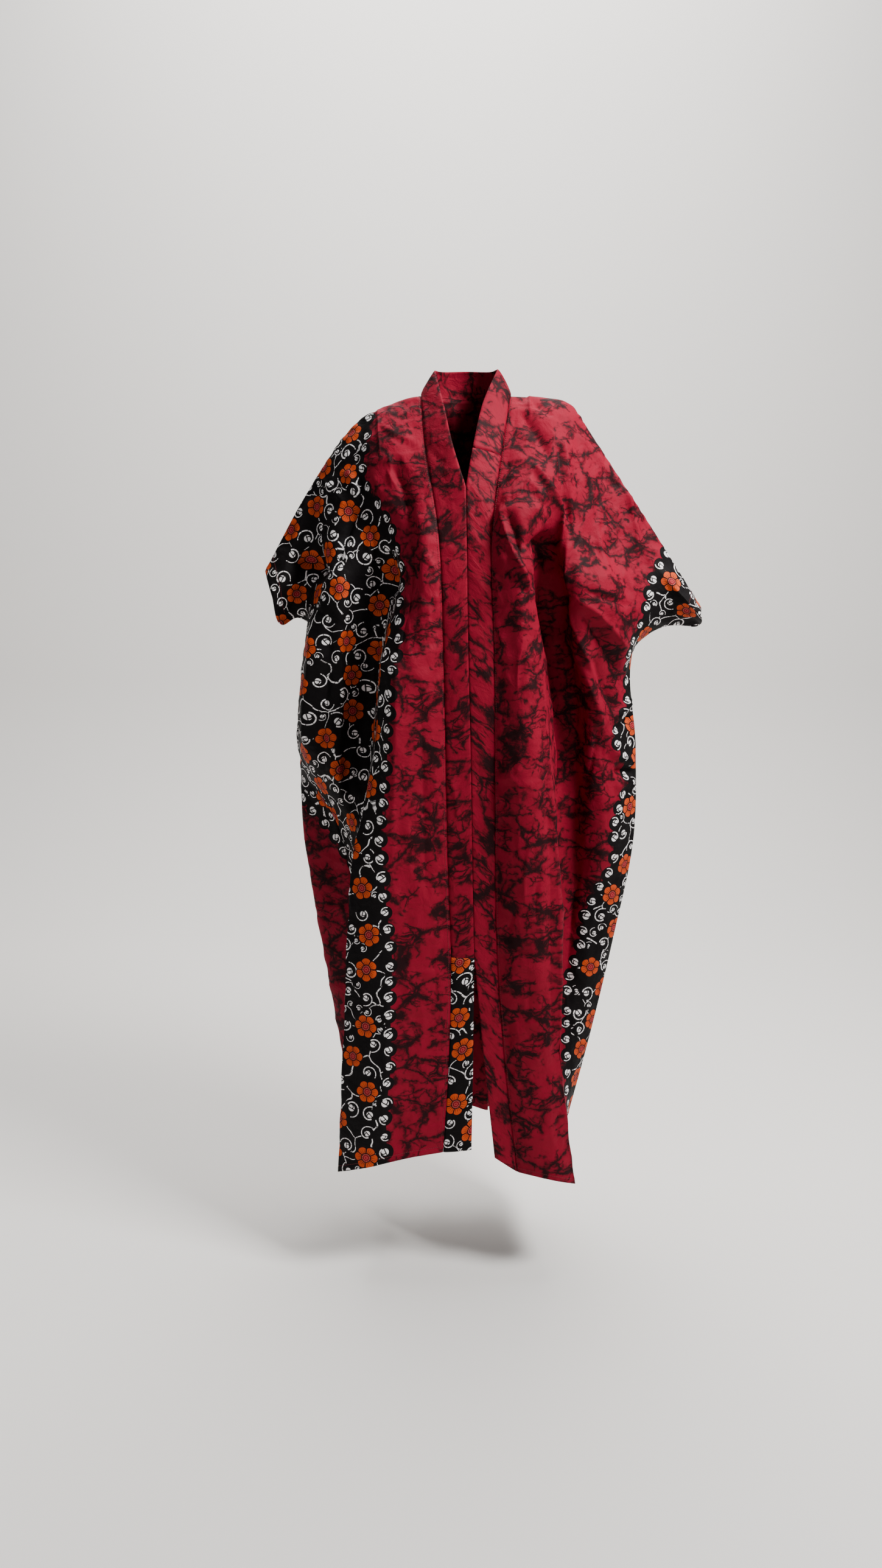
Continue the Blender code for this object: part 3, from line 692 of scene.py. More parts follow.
def dress_panel(name, cloth):
    """Add folds, creases, waves and the seams' hollows to one panel, and set out its print."""
    panel = ROBE[name]
    grid, normal = panel["grid"], panel["normal"]
    across_mm, up_mm = grid[:, :, 0] / MM, grid[:, :, 2] / MM
    from_seam = np.minimum(run_along(grid, 1), run_along(grid[:, ::-1], 1)[:, ::-1])
    from_seam = np.minimum(from_seam, run_along(grid, 0))
    depth = run_along(grid[::-1], 0)[::-1]
    calm = HEM_LIVELINESS + (1 - HEM_LIVELINESS) * np.clip(depth / HEM_CALM, 0.0, 1.0)
    folds = crease_height(across_mm, up_mm, DEEP_FOLDS[name], DEEP_ROUNDNESS) * calm
    folds *= np.clip(from_seam / FOLDS_CLEAR, 0.0, 1.0)
    folded = grid + normal * folds[:, :, None] * MM
    panel["flat"] = flattened(folded, grid.shape[1] // 2 if name == "back" else 0)
    if name == "back":
        panel["border"] = back_border(folded, panel["flat"], panel["shares"])
    else:
        panel["border"] = front_border(name.removeprefix("front_"), folded, panel["flat"])

    lift = crease_height(across_mm, up_mm, CREASES[name]) + small_creases(name, across_mm, up_mm)
    lift += sum(waves(grid, *wave) for wave in PANEL_WAVES)
    lift += waves(grid, *PUCKERS) * np.exp(-from_seam / PUCKER_REACH)
    lift *= cloth.crease_strength * np.clip(from_seam / CREASES_CLEAR, 0.0, 1.0) * calm * MM
    lift += HEM_THICKENING * (depth < cloth.hem_turn) - seam_hollow(from_seam)
    panel["grid"] = folded + normal * lift[:, :, None]


def seam_hollow(from_seam):
    """How far the cloth sinks where it is sewn."""
    return SEAM_SINK * np.exp(-(from_seam / SEAM_HALF_WIDTH) ** 2)


def border_edge(flat, edge, inward):
    """The printed edge as an even curve on the flat cloth, and each point's depth inside it."""
    order = np.argsort(edge[:, 1])
    level = np.arange(flat[:, :, 1].min() - EDGE_SPARE, flat[:, :, 1].max() + EDGE_SPARE, EDGE_FINENESS)
    place = np.interp(level, edge[order, 1], edge[order, 0])
    window = np.ones(2 * EDGE_SMOOTHING + 1) / (2 * EDGE_SMOOTHING + 1)
    for _ in range(2):
        place = np.convolve(np.pad(place, EDGE_SMOOTHING, mode="edge"), window, mode="valid")
    curve = np.stack([place, level], axis=1)
    inside = (flat[:, :, 0] - np.interp(flat[:, :, 1], level, place)) * inward > 0
    depth = np.full(flat.shape[:2], np.inf)
    for start, end in zip(curve[:-1], curve[1:]):
        step = end - start
        t = np.clip(((flat - start) @ step) / (step @ step), 0.0, 1.0)
        depth = np.minimum(depth, np.linalg.norm(flat - start - t[:, :, None] * step, axis=2))
    return {"depth": np.where(inside, depth, -depth), "curves": [(curve, inward)]}


def front_border(side, grid, flat):
    """Where the printed edge crosses each row of a front, carried to the flat cloth."""
    xs, zs = np.array(BORDER_EDGE[side][::-1]).T * MM
    outward = -1.0 if side == "right" else 1.0
    past = (grid[:, :, 0] - np.interp(grid[:, :, 2], zs, xs)) * outward
    edge = []
    for i in range(len(grid)):
        beyond = np.nonzero(past[i] >= 0)[0]
        if len(beyond) == 0 or beyond[0] == 0:
            continue
        k = beyond[0]
        t = past[i, k - 1] / (past[i, k - 1] - past[i, k])
        edge.append(flat[i, k - 1] + (flat[i, k] - flat[i, k - 1]) * t)
    return border_edge(flat, np.array(edge), 1.0)


def back_border(grid, flat, shares):
    """The back's two printed borders, set out from its side seams."""
    runs = {"right": run_along(grid, 1), "left": run_along(grid[:, ::-1], 1)[:, ::-1]}
    borders = {}
    for side, inward in (("right", -1.0), ("left", 1.0)):
        places, widths = np.array(BACK_BORDER[side]).T
        edge = []
        for i, width in enumerate(np.interp(shares, places, widths * MM)):
            k = int(np.argmin(np.abs(runs[side][i] - max(width, 0.0))))
            edge.append(flat[i, k] + np.array([-inward * min(width, 0.0), 0.0]))
        borders[side] = border_edge(flat, np.array(edge), inward)
    right, left = borders["right"], borders["left"]
    depth = np.maximum(right["depth"], left["depth"])
    return {"depth": depth, "curves": right["curves"] + left["curves"]}


def scatter(places, spacing, clear_of, pick):
    """Places at least `spacing` apart and clear of earlier motifs, taken in random order."""
    free = pick.permutation(places)
    for others, reach in clear_of:
        for other in others:
            free = free[np.hypot(*(free - other).T) >= reach]
    chosen = []
    while len(free):
        chosen.append(free[0])
        free = free[np.hypot(*(free - free[0]).T) >= spacing]
    return np.array(chosen).reshape(-1, 2)


def as_motifs(at, pick, sizes, turns=None):
    """Centres with a size, a turn and a mirroring each."""
    count = len(at)
    if turns is None:
        turns = pick.uniform(0, 2 * math.pi, count)
    sizes = pick.uniform(*sizes, count)
    return {"at": at, "turn": turns, "size": sizes, "flip": pick.choice((-1.0, 1.0), count)}


def lay_out(flat, border, seed):
    """Set out the border's flowers, curls and edge buds on the flat cloth, in metres."""
    pick = np.random.default_rng(seed)
    places, depth = flat.reshape(-1, 2), border["depth"].ravel()
    flowers = scatter(places[depth > FLOWER_DEPTH], FLOWER_SPACING, (), pick)
    curls = scatter(places[depth > CURL_DEPTH], CURL_SPACING, ((flowers, FLOWER_CLEAR),), pick)
    taken = ((flowers, SMALL_CLEAR), (curls, CURL_CLEAR))
    small = scatter(places[depth > SMALL_DEPTH], SMALL_SPACING, taken, pick)
    small = small[pick.random(len(small)) < SMALL_SHARE]
    curls, small = as_motifs(curls, pick, CURL_SIZES), as_motifs(small, pick, SMALL_SIZES)
    both = {key: np.concatenate([curls[key], small[key]]) for key in curls}
    centres, turns = [np.empty((0, 2))], [np.empty(0)]
    for curve, inward in border["curves"]:
        runs = runs_of(curve)
        stops = np.arange(0.0, runs[-1], EDGE_STEP)
        stops = stops + pick.uniform(-EDGE_SHIFT, EDGE_SHIFT, len(stops)) * EDGE_STEP
        along = unit(np.gradient(curve, axis=0))
        side = np.stack([along[:, 1], -along[:, 0]], axis=1) * inward
        centres.append(line_at(curve + side * EDGE_INSET, runs, stops))
        facing = line_at(side, runs, stops)
        turns.append(np.arctan2(facing[:, 1], facing[:, 0]))
    turns = np.concatenate(turns)
    turns = turns + pick.uniform(-EDGE_TURN, EDGE_TURN, len(turns))
    edge = as_motifs(np.concatenate(centres), pick, EDGE_SIZES, turns)
    return {"flower": as_motifs(flowers, pick, FLOWER_SIZES), "curl": both, "edge": edge}


def from_nearest(corners, motifs):
    """Each face's corners seen from its nearest motif, turned and scaled with that motif."""
    if not len(motifs["at"]):
        return corners + FAR_OFF
    middle = corners.mean(axis=1)
    nearest = np.empty(len(middle), dtype=int)
    for part in np.array_split(np.arange(len(middle)), 1 + len(middle) // AT_ONCE):
        away = np.linalg.norm(middle[part, None] - motifs["at"][None], axis=2) / motifs["size"]
        nearest[part] = away.argmin(axis=1)
    away = (corners - motifs["at"][nearest][:, None]) / motifs["size"][nearest][:, None, None]
    turn = motifs["turn"][nearest][:, None]
    x = away[:, :, 0] * np.cos(turn) + away[:, :, 1] * np.sin(turn)
    y = away[:, :, 1] * np.cos(turn) - away[:, :, 0] * np.sin(turn)
    return np.stack([x, y * motifs["flip"][nearest][:, None]], axis=2)


def make_strip(fronts, back, shares):
    """The neck band: up the left front, round the neck and down the right front."""
    edge = {side: edge_rows(side) for side in SIDES}
    neck_outer = back[0, NECK_RIGHT * BACK_STEPS:NECK_LEFT * BACK_STEPS + 1]
    collar = [edge["right"][0]] + metres(COLLAR_TOP) + [edge["left"][0]]
    neck_inner = at_shares(fine_line(collar), np.linspace(0.0, 1.0, len(neck_outer)))
    outer = np.vstack([fronts["left"][::-1, 0][:-1], neck_outer[::-1], fronts["right"][1:, 0]])
    inner = np.vstack([edge["left"][::-1][:-1], neck_inner[::-1], edge["right"][1:]])
    share = np.linspace(0.0, 1.0, BAND_STEPS + 1)[None, :, None]
    strip = inner[:, None, :] * (1 - share) + outer[:, None, :] * share
    normal = normals_of(strip)
    if normal[FACING_BAND][1] > 0:
        normal *= -1.0
    normal[:, 0, 0] *= 1.0 - (strip[:, 0, 2] < CLOSED_LEVEL)
    normal[:, 0] = unit(normal[:, 0])
    ROBE["strip"] = {"grid": strip, "normal": normal, "rows": len(shares),
                     "u": run_along(strip, 1), "v": run_along(strip, 0)}


def match_seams(shares):
    """Give both sides of every seam one normal, so their edges lie together."""
    strip, back = ROBE["strip"]["normal"], ROBE["back"]["normal"]
    rows, total = len(shares), len(strip)
    low = shares >= CUFF_SHARE
    shoulders = {"right": np.arange(NECK_RIGHT * BACK_STEPS, -1, -1),
                 "left": np.arange(NECK_LEFT * BACK_STEPS, back.shape[1])}
    bands = {"right": np.arange(total - rows, total), "left": np.arange(rows - 1, -1, -1)}
    for side, column, slant in (("right", 0, -BAND_SLANT), ("left", -1, BAND_SLANT)):
        front, top, band = ROBE["front_" + side]["normal"], shoulders[side], bands[side]
        near = np.round(np.linspace(0, len(top) - 1, front.shape[1])).astype(int)
        front[0] = unit(front[0] + back[0, top[near]])
        again = np.round(np.linspace(0, front.shape[1] - 1, len(top))).astype(int)
        back[0, top] = front[0, again]
        front[low, -1] = unit(front[low, -1] + back[low, column])
        back[low, column] = front[low, -1]
        mean = unit(front[:, 0] + strip[band, -1])
        front[:, 0] = unit(mean + np.array([slant, 0.0, 0.0]))
        strip[band, -1] = front[:, 0]
    neck = np.arange(rows, total - rows)
    columns = NECK_LEFT * BACK_STEPS - (neck - rows + 1)
    mean = unit(back[0, columns] + strip[neck, -1])
    strip[neck, -1] = unit(mean - np.array([0.0, 0.0, NECK_SLANT]))
    back[0, columns] = strip[neck, -1]


# ---------------------------------------------------------------------------
# Meshes
# ---------------------------------------------------------------------------
BELLY_ROUNDNESS = 0.6
BAND_WALLS = 1.3                      # a band is folded double
CENTRE_CLEARANCE = 0.6                # share of the seam gap beside the closed centre
STITCH_SPACING = 1.35                 # in stitch lengths
CUFF_INSET = 5                        # grid lines in from the cuff and from the band seam
BAND_INSET = 2
THREAD_RADIUS = 0.00028
THREAD_SIDES = 6
THREAD_LIFT = 0.6


def draw_back(edge, inside, normal, gap):
    """Move a seam edge back into its own piece by half the seam gap."""
    aside = unit(np.cross(normal, np.gradient(edge, axis=0)))
    sign = np.sign(np.sum(aside * (inside - edge), axis=1, keepdims=True))
    sign[sign == 0] = 1
    return edge + aside * sign * gap * 0.5


def placed(name, data):
    """An object of the data, linked into the scene."""
    made = bpy.data.objects.new(name, data)
    bpy.context.scene.collection.objects.link(made)
    return made


def cloth_shell(name, grid, normal, flat, border, wall):
    """Close a grid of points into a thin shell; its UVs are places on the flat cloth."""
    rows, columns = grid.shape[:2]
    count = rows * columns
    points = np.vstack([grid.reshape(-1, 3), (grid - normal * wall).reshape(-1, 3)])
    index = np.arange(count).reshape(rows, columns)
    outer = corners_of(index).reshape(-1, 4)
    inner = outer[:, [0, 3, 2, 1]] + count
    rim = np.concatenate([index[0], index[1:, -1], index[-1, -2::-1], index[-2:0:-1, 0]])
    following = np.roll(rim, -1)
    sides = np.stack([following, rim, rim + count, following + count], axis=1)
    faces = np.vstack([outer, inner, sides])
    mesh = bpy.data.meshes.new(name)
    mesh.vertices.add(len(points))
    mesh.vertices.foreach_set("co", points.ravel())
    mesh.loops.add(faces.size)
    mesh.loops.foreach_set("vertex_index", faces.ravel())
    mesh.polygons.add(len(faces))
    mesh.polygons.foreach_set("loop_start", np.arange(len(faces)) * 4)
    mesh.update(calc_edges=True)
    face = mesh.polygons[(rows // 2) * (columns - 1) + columns // 2]
    if face.normal.dot(Vector(normal[rows // 2, columns // 2])) < 0:
        mesh.flip_normals()
    loop_points = np.empty(len(mesh.loops), dtype=int)
    mesh.loops.foreach_get("vertex_index", loop_points)
    corners = flat.reshape(-1, 2)[loop_points % count]
    layers = {"ground": corners + PRINT_SEED[name]}
    if border is not None:
        depth = border["depth"].ravel()[loop_points % count]
        layers["depth"] = np.stack([depth, depth * 0.0], axis=1)
        for kind, motifs in lay_out(flat, border, PRINT_SEED[name]).items():
            layers[kind] = from_nearest(corners.reshape(-1, 4, 2), motifs)
    for layer_name, places in layers.items():
        mesh.uv_layers.new(name=layer_name).uv.foreach_set("vector", places.ravel())
    mesh.shade_smooth()
    return placed(name, mesh)


def dress(piece, node, material):
    """Ride, replace and finish one cloth piece."""
    piece.data.materials.append(material)
    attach(piece, "root")
    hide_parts(node)


def panel_piece(name, node):
    """One panel drawn back from its seams."""
    panel = robe_cloth()[node]
    cloth = bpy.context.scene.robe_cloth
    gap = cloth.seam_gap
    grid = panel["grid"].copy()
    normal = panel["normal"]
    low = panel["shares"] >= CUFF_SHARE
    grid[0] = draw_back(grid[0], grid[1], normal[0], gap)
    grid[low, -1] = draw_back(grid[low, -1], grid[low, -2], normal[low, -1], gap)
    if node == "back":
        grid[low, 0] = draw_back(grid[low, 0], grid[low, 1], normal[low, 0], gap)
    else:
        grid[:, 0] = draw_back(grid[:, 0], grid[:, 1], normal[:, 0], gap)
    return cloth_shell(name, grid, normal, panel["flat"], panel["border"], cloth.wall)


def band_piece(name, start, end, bordered=False):
    """A stretch of the neck band, as a folded double strip with soft edges."""
    strip = robe_cloth()["strip"]
    cloth = bpy.context.scene.robe_cloth
    gap, total = cloth.seam_gap, len(strip["grid"])
    stretch = np.s_[start:end + 1]
    grid, normal, u = strip["grid"][stretch].copy(), strip["normal"][stretch], strip["u"][stretch]
    share = np.linspace(0.0, 1.0, grid.shape[1])[None, :]
    belly = np.sin(share * math.pi) * np.ones((len(grid), 1))
    lift = belly ** BELLY_ROUNDNESS + waves(grid, *BAND_RIPPLES) + waves(grid, *BAND_SWELLS) * belly
    lift += crease_height(grid[:, :, 0] / MM, grid[:, :, 2] / MM, BAND_CREASES) * np.sqrt(belly)
    lift *= cloth.crease_strength * MM
    lift -= seam_hollow(u[:, -1:] - u)
    grid += normal * lift[:, :, None]
    grid[:, -1] = draw_back(grid[:, -1], grid[:, -2], normal[:, -1], gap)
    closed = (grid[:, 0, 2] < CLOSED_LEVEL) * gap * CENTRE_CLEARANCE
    row = np.arange(start, end + 1)
    on_left = row < strip["rows"] - 1
    on_right = row > total - strip["rows"]
    grid[:, 0, 0] += closed * on_left - closed * on_right
    if start > 0:
        grid[0] += unit(grid[1] - grid[0]) * gap * 0.5
    if end < total - 1:
        grid[-1] += unit(grid[-2] - grid[-1]) * gap * 0.5
    flat = np.stack([u, -strip["v"][stretch]], axis=2)
    border = {"depth": np.ones_like(u), "curves": []} if bordered else None
    return cloth_shell(name, grid, normal, flat, border, cloth.wall * BAND_WALLS)


def stitch_line(name, path, outward, length):
    """A row of short thread stitches lying on the cloth along a path."""
    runs = runs_of(path)
    spacing = length * STITCH_SPACING
    points, faces = [], []
    for k in range(int(runs[-1] / spacing)):
        ends = np.minimum((k * spacing, k * spacing + length), runs[-1])
        places, ups = line_at(path, runs, ends), unit(line_at(outward, runs, ends))
        along = unit(places[1] - places[0])
        base = len(points)
        for place, up in zip(places, ups):
            aside = np.cross(along, up)
            for turn in np.arange(THREAD_SIDES) * 2 * math.pi / THREAD_SIDES:
                height = THREAD_RADIUS * (THREAD_LIFT + math.sin(turn))
                points.append(place + up * height + aside * math.cos(turn) * THREAD_RADIUS)
        first = list(range(base, base + THREAD_SIDES))
        last = [point + THREAD_SIDES for point in first]
        for side in range(THREAD_SIDES):
            after = (side + 1) % THREAD_SIDES
            faces.append((first[side], first[after], last[after], last[side]))
        faces += [first[::-1], last]
    mesh = bpy.data.meshes.new(name)
    mesh.from_pydata([tuple(point) for point in points], [], faces)
    mesh.update()
    mesh.shade_smooth()
    return placed(name, mesh)


# ---------------------------------------------------------------------------
# Materials
# ---------------------------------------------------------------------------
class NodeBench:
    """A new material, and short calls for wiring its nodes."""

    def __init__(self, name):
        self.material = bpy.data.materials.new(name)
        self.material.use_nodes = True
        self.tree = self.material.node_tree

    def fill(self, socket, value):
        """Link or set one input."""
        if isinstance(value, bpy.types.NodeSocket):
            self.tree.links.new(value, socket)
        else:
            socket.default_value = value

    def add(self, kind, inputs=(), output=0, **settings):
        node = self.tree.nodes.new(kind)
        for key, value in settings.items():
            setattr(node, key, value)
        for key, value in dict(inputs).items():
            self.fill(node.inputs[key], value)
        return node.outputs[output]

    def shade(self, colour, roughness, relief=None, specular=0.5):
        """Finish the material; the relief is a height, its strength and its distance."""
        shader = self.tree.nodes["Principled BSDF"]
        self.fill(shader.inputs["Base Color"], colour)
        self.fill(shader.inputs["Roughness"], roughness)
        self.fill(shader.inputs["Specular IOR Level"], specular)
        if relief is not None:
            relief = self.add("ShaderNodeBump", zip(("Height", "Strength", "Distance"), relief))
            self.fill(shader.inputs["Normal"], relief)
        return self.material

    def math(self, operation, *values):
        return self.add("ShaderNodeMath", enumerate(values), operation=operation)

    def vector(self, operation, *values, output=0):
        return self.add("ShaderNodeVectorMath", enumerate(values), output, operation=operation)

    def mix(self, factor, first, second):
        """Second colour where the factor is 1."""
        return self.add("ShaderNodeMix", {0: factor, 6: first, 7: second}, 2, data_type="RGBA")

    def times(self, value, factor):
        return self.math("MULTIPLY", value, factor)

    def minus(self, value, other):
        return self.math("SUBTRACT", value, other)

    def times_plus(self, value, factor, more):
        return self.math("MULTIPLY_ADD", value, factor, more)

    def apart(self, value, other):
        """How far two values are from each other."""
        return self.math("ABSOLUTE", self.minus(value, other))

    def beat(self, kind, angle, count):
        """Even beats round a circle, between 0 and 1, from a sine or cosine."""
        return self.math("ABSOLUTE", self.math(kind, self.times(angle, count)))

    def split(self, place):
        """x and y of a place."""
        return self.add("ShaderNodeSeparateXYZ", {0: place}).node.outputs[:2]

    def length(self, place):
        return self.vector("LENGTH", place, output=1)

    def angle(self, place):
        x, y = self.split(place)
        return self.math("ARCTAN2", y, x)

    def both(self, *masks):
        """1 where every mask is 1."""
        total = masks[0]
        for mask in masks[1:]:
            total = self.times(total, mask)
        return total

    def either(self, *masks):
        """1 where any mask is 1."""
        total = masks[0]
        for mask in masks[1:]:
            total = self.math("MAXIMUM", total, mask)
        return total

    def ramp(self, value, low, high, first=0.0, last=1.0, **settings):
        """Runs from the first to the last number as the value runs from low to high."""
        limits = {"From Min": low, "From Max": high, "To Min": first, "To Max": last}
        return self.add("ShaderNodeMapRange", {"Value": value, **limits}, **settings)

    def below(self, value, limit, softness):
        """1 where the value is under the limit, with a soft edge."""
        return self.ramp(value, limit - softness, limit + softness, 1.0, 0.0,
                         interpolation_type="SMOOTHSTEP")

    def above(self, value, limit, softness):
        """1 where the value is over the limit, with a soft edge."""
        return self.minus(1.0, self.below(value, limit, softness))

    def noise(self, places, scale, detail, roughness=0.5, distortion=0.0, output=0):
        look = {"Scale": scale, "Detail": detail, "Roughness": roughness, "Distortion": distortion}
        return self.add("ShaderNodeTexNoise", {"Vector": places, **look}, output)

    def drifted(self, places, amount, *look):
        """Places moved about by a noise."""
        drift = self.vector("SUBTRACT", self.noise(places, *look, output=1), (0.5, 0.5, 0.5))
        return self.vector("ADD", places, self.vector("MULTIPLY", drift, amount))

    def cells(self, places, scale, feature="DISTANCE_TO_EDGE", **settings):
        """A pattern of uneven cells."""
        inputs = {"Vector": places, "Scale": scale}
        return self.add("ShaderNodeTexVoronoi", inputs, feature=feature, **settings)

    def flat_cells(self, places, size):
        """Distance to the nearest edge of cells of a size."""
        return self.times(self.cells(places, 1 / size, voronoi_dimensions="2D"), size)


# The border's own print.  The layout is in metres, the motifs' shapes are in mm.
FLOWER_DEPTH = 0.034
FLOWER_SPACING = 0.056
FLOWER_CLEAR = 0.031
CURL_DEPTH = 0.030
CURL_SPACING = 0.032
CURL_CLEAR = 0.019
SMALL_DEPTH = 0.022
SMALL_SPACING = 0.015
SMALL_CLEAR = 0.0245
SMALL_SHARE = 0.3
EDGE_STEP = 0.029
EDGE_INSET = 0.0095
FLOWER_SIZES = (0.95, 1.05)
CURL_SIZES = (0.85, 1.1)
SMALL_SIZES = (0.5, 0.7)
EDGE_SIZES = (0.85, 1.12)
EDGE_SHIFT = 0.1                      # how unevenly the edge buds stand and turn
EDGE_TURN = 0.9
EDGE_SPARE = 0.1                      # the edge runs on past the cloth
EDGE_FINENESS = 0.004
EDGE_SMOOTHING = 5
FAR_OFF = 9.0
AT_ONCE = 4000                        # faces worked on at once
TO_MM = (1000.0, 1000.0, 0.0)
INSET = EDGE_INSET * TO_MM[0]
FLOWER_RADIUS = 18.2
# Sizes within a flower, as shares of its radius, and the width of its dark outline.
LOBE, CUP, RING, HEART, EYE = 0.3, 0.44, 0.31, 0.24, 0.12
OUTLINE = 2.2
RING_HALF_WIDTH = 0.75
EYE_HALF_WIDTH = 0.45
PETALS, VEINS, BEADS = 3.0, 12.0, 6.0    # beats round the flower
BEAD_GAP = (0.3, 0.1)                 # gaps: their limit and softness
VEIN_TAPER = (-1.25 / FLOWER_RADIUS, 1.06)
VEIN_SOFT = 0.06
FOLD_TAPER = (-0.28 / FLOWER_RADIUS, 0.42)
FOLD_SOFT = 0.03
# Cracks of a bud, as shares of its radius: slope and offset of the straight one; place,
# radius and lowest point of the bowed one.
CHORD_SLOPE = 0.35
CHORD_OFFSET = 0.12
BOW_X, BOW_Y, BOW_RADIUS, BOW_FLOOR = 0.42, 0.2, 0.78, -0.2
# Buds and the discs round them, which the vines keep out of.
CURL_BUD = 5.2
CURL_ROOM = 13.0
EDGE_BUD = 5.5
EDGE_DISC = 13.0
EDGE_LINE = 3.0                       # how far the ink reaches past the edge buds' centres
# Curling stems: start, growth a radian, sweep in radians, half widths at the two ends.
CURL_STEM = (7.6, 1.7, 4.2, 1.15, 0.65)
EDGE_STEM = (6.1, 1.9, 2.3, 1.1, 0.7)
VINE_DRIFT = ((0.05, 0.05, 0.0), 24.0, 1.0)      # amount, then scale and detail of the noise
VINE_START = 8.0                      # how far inside the edge the vines begin
VINE_CELL = 52.0
VINE_HALF_WIDTH = 0.85
DASH_CELL = 9.0
DASH_GAP = (0.5, 0.2)
STEM_DASH = 0.8
STEM_GAP = (0.16, 0.07)
STEM_END = 0.04
CRACK_HALF_WIDTH = 0.9
SOFT = 0.3
EDGE_SOFT = 0.4
# Smoky cracks of the ground, coarse to fine: cells a metre, patch values where they
# start and are full, width, softness and reach of the smoke.
CRACKS = ((19.0, 0.39, 0.67, 0.066, 0.042, 0.13), (36.0, 0.445, 0.69, 0.066, 0.060, 0.13),
          (62.0, 0.49, 0.73, 0.080, 0.090, 0.16))
CRACK_DRIFT = ((0.045, 0.03, 0.0), 26.0, 4.0, 0.6)
CRACK_LEAN = (0.0, 0.0, 0.35)
CRACK_STRETCH = (0.8, 1.15, 1.0)
CRACK_RAGGED = 0.13
CRACK_CORE = 0.4                      # share of the softness that lies inside a crack
CRACK_START = 0.25
CRACK_INK = 0.9
SMOKE_DARK = 0.7
# Noises: scale, detail, roughness and distortion.
GRAIN = (170.0, 4.0, 0.7)
PATCHES = (23.0, 3.0, 0.6)
TINT = (9.0, 3.0)
WEAVE = (1400.0, 1.0)
CRUMPLE = (42.0, 5.0, 0.55, 0.6)
TWIST = (900.0, 2.0)
# Relief of the cloth and the thread: strength and distance of the bump.
CRUMPLE_DRIFT = ((0.05, 0.05, 0.0), 12.0, 2.0)
CRUMPLE_CELLS = 26.0
CRUMPLE_BUMP = (0.75, 0.0036)
WEAVE_HEIGHT = 0.03
CELLS_HEIGHT = 0.9
THREAD_BUMP = (0.4, 0.0002)
THREAD_SHADE = 0.5
THREAD_ROUGHNESS = 0.65
COTTON_ROUGHNESS = 0.6
COTTON_SHEEN = 0.05


def flower(bench, place, colours):
    """Six-petalled flower round the origin of `place`: its colour, its shape and its outline."""
    angle, radius = bench.angle(place), bench.length(place)
    ink, size = colours["ink"], FLOWER_RADIUS
    lobes = bench.beat("COSINE", angle, PETALS)
    reach = bench.times_plus(bench.math("POWER", lobes, 0.5), size * LOBE, size * (1 - LOBE))
    beyond = bench.minus(radius, reach)
    veins = bench.minus(bench.beat("SINE", angle, VEINS), bench.times_plus(radius, *VEIN_TAPER))
    folds = bench.minus(lobes, bench.times_plus(radius, *FOLD_TAPER))
    lines = bench.either(bench.below(veins, 0.0, VEIN_SOFT), bench.below(folds, 0.0, FOLD_SOFT))
    colour = bench.mix(lines, colours["petal"], ink)
    colour = bench.mix(bench.below(radius, size * CUP, SOFT), colour, ink)
    ring = bench.below(bench.apart(radius, size * RING), RING_HALF_WIDTH, SOFT)
    ring = bench.both(ring, bench.above(bench.beat("SINE", angle, BEADS), *BEAD_GAP))
    colour = bench.mix(ring, colour, colours["ring"])
    colour = bench.mix(bench.below(radius, size * HEART, SOFT), colour, colours["heart"])
    eye = bench.below(bench.apart(radius, size * EYE), EYE_HALF_WIDTH, SOFT)
    petals, outline = bench.below(beyond, 0.0, SOFT), bench.below(beyond, OUTLINE, SOFT)
    return bench.mix(eye, colour, colours["ring"]), petals, outline


def bud(bench, place, radius):
    """A round bud split by dark cracks, its leading side towards +X."""
    x, y = bench.split(place)
    disc = bench.below(bench.length(place), radius, SOFT)
    chord = bench.times_plus(x, CHORD_SLOPE, bench.math("ADD", y, radius * CHORD_OFFSET))
    chord = bench.below(bench.math("ABSOLUTE", chord), CRACK_HALF_WIDTH, SOFT)
    bow = bench.length(bench.vector("SUBTRACT", place, (radius * BOW_X, radius * BOW_Y, 0.0)))
    bow = bench.below(bench.apart(bow, radius * BOW_RADIUS), CRACK_HALF_WIDTH, SOFT)
    bow = bench.both(bow, bench.above(y, radius * BOW_FLOOR, EDGE_SOFT))
    return bench.both(disc, bench.minus(1.0, bench.either(chord, bow)))


def spiral(bench, place, start, growth, sweep, thick, thin):
    """A dashed stem that curls outwards round the origin of `place`."""
    angle = bench.math("WRAP", bench.angle(place), 2 * math.pi, 0.0)
    reach = bench.times_plus(angle, growth, start)
    width = bench.times_plus(angle, (thin - thick) / sweep, thick)
    stem = bench.below(bench.minus(bench.apart(bench.length(place), reach), width), 0.0, SOFT)
    beat = bench.beat("SINE", angle, math.pi / STEM_DASH)
    return bench.both(stem, bench.below(angle, sweep, STEM_END), bench.above(beat, *STEM_GAP))


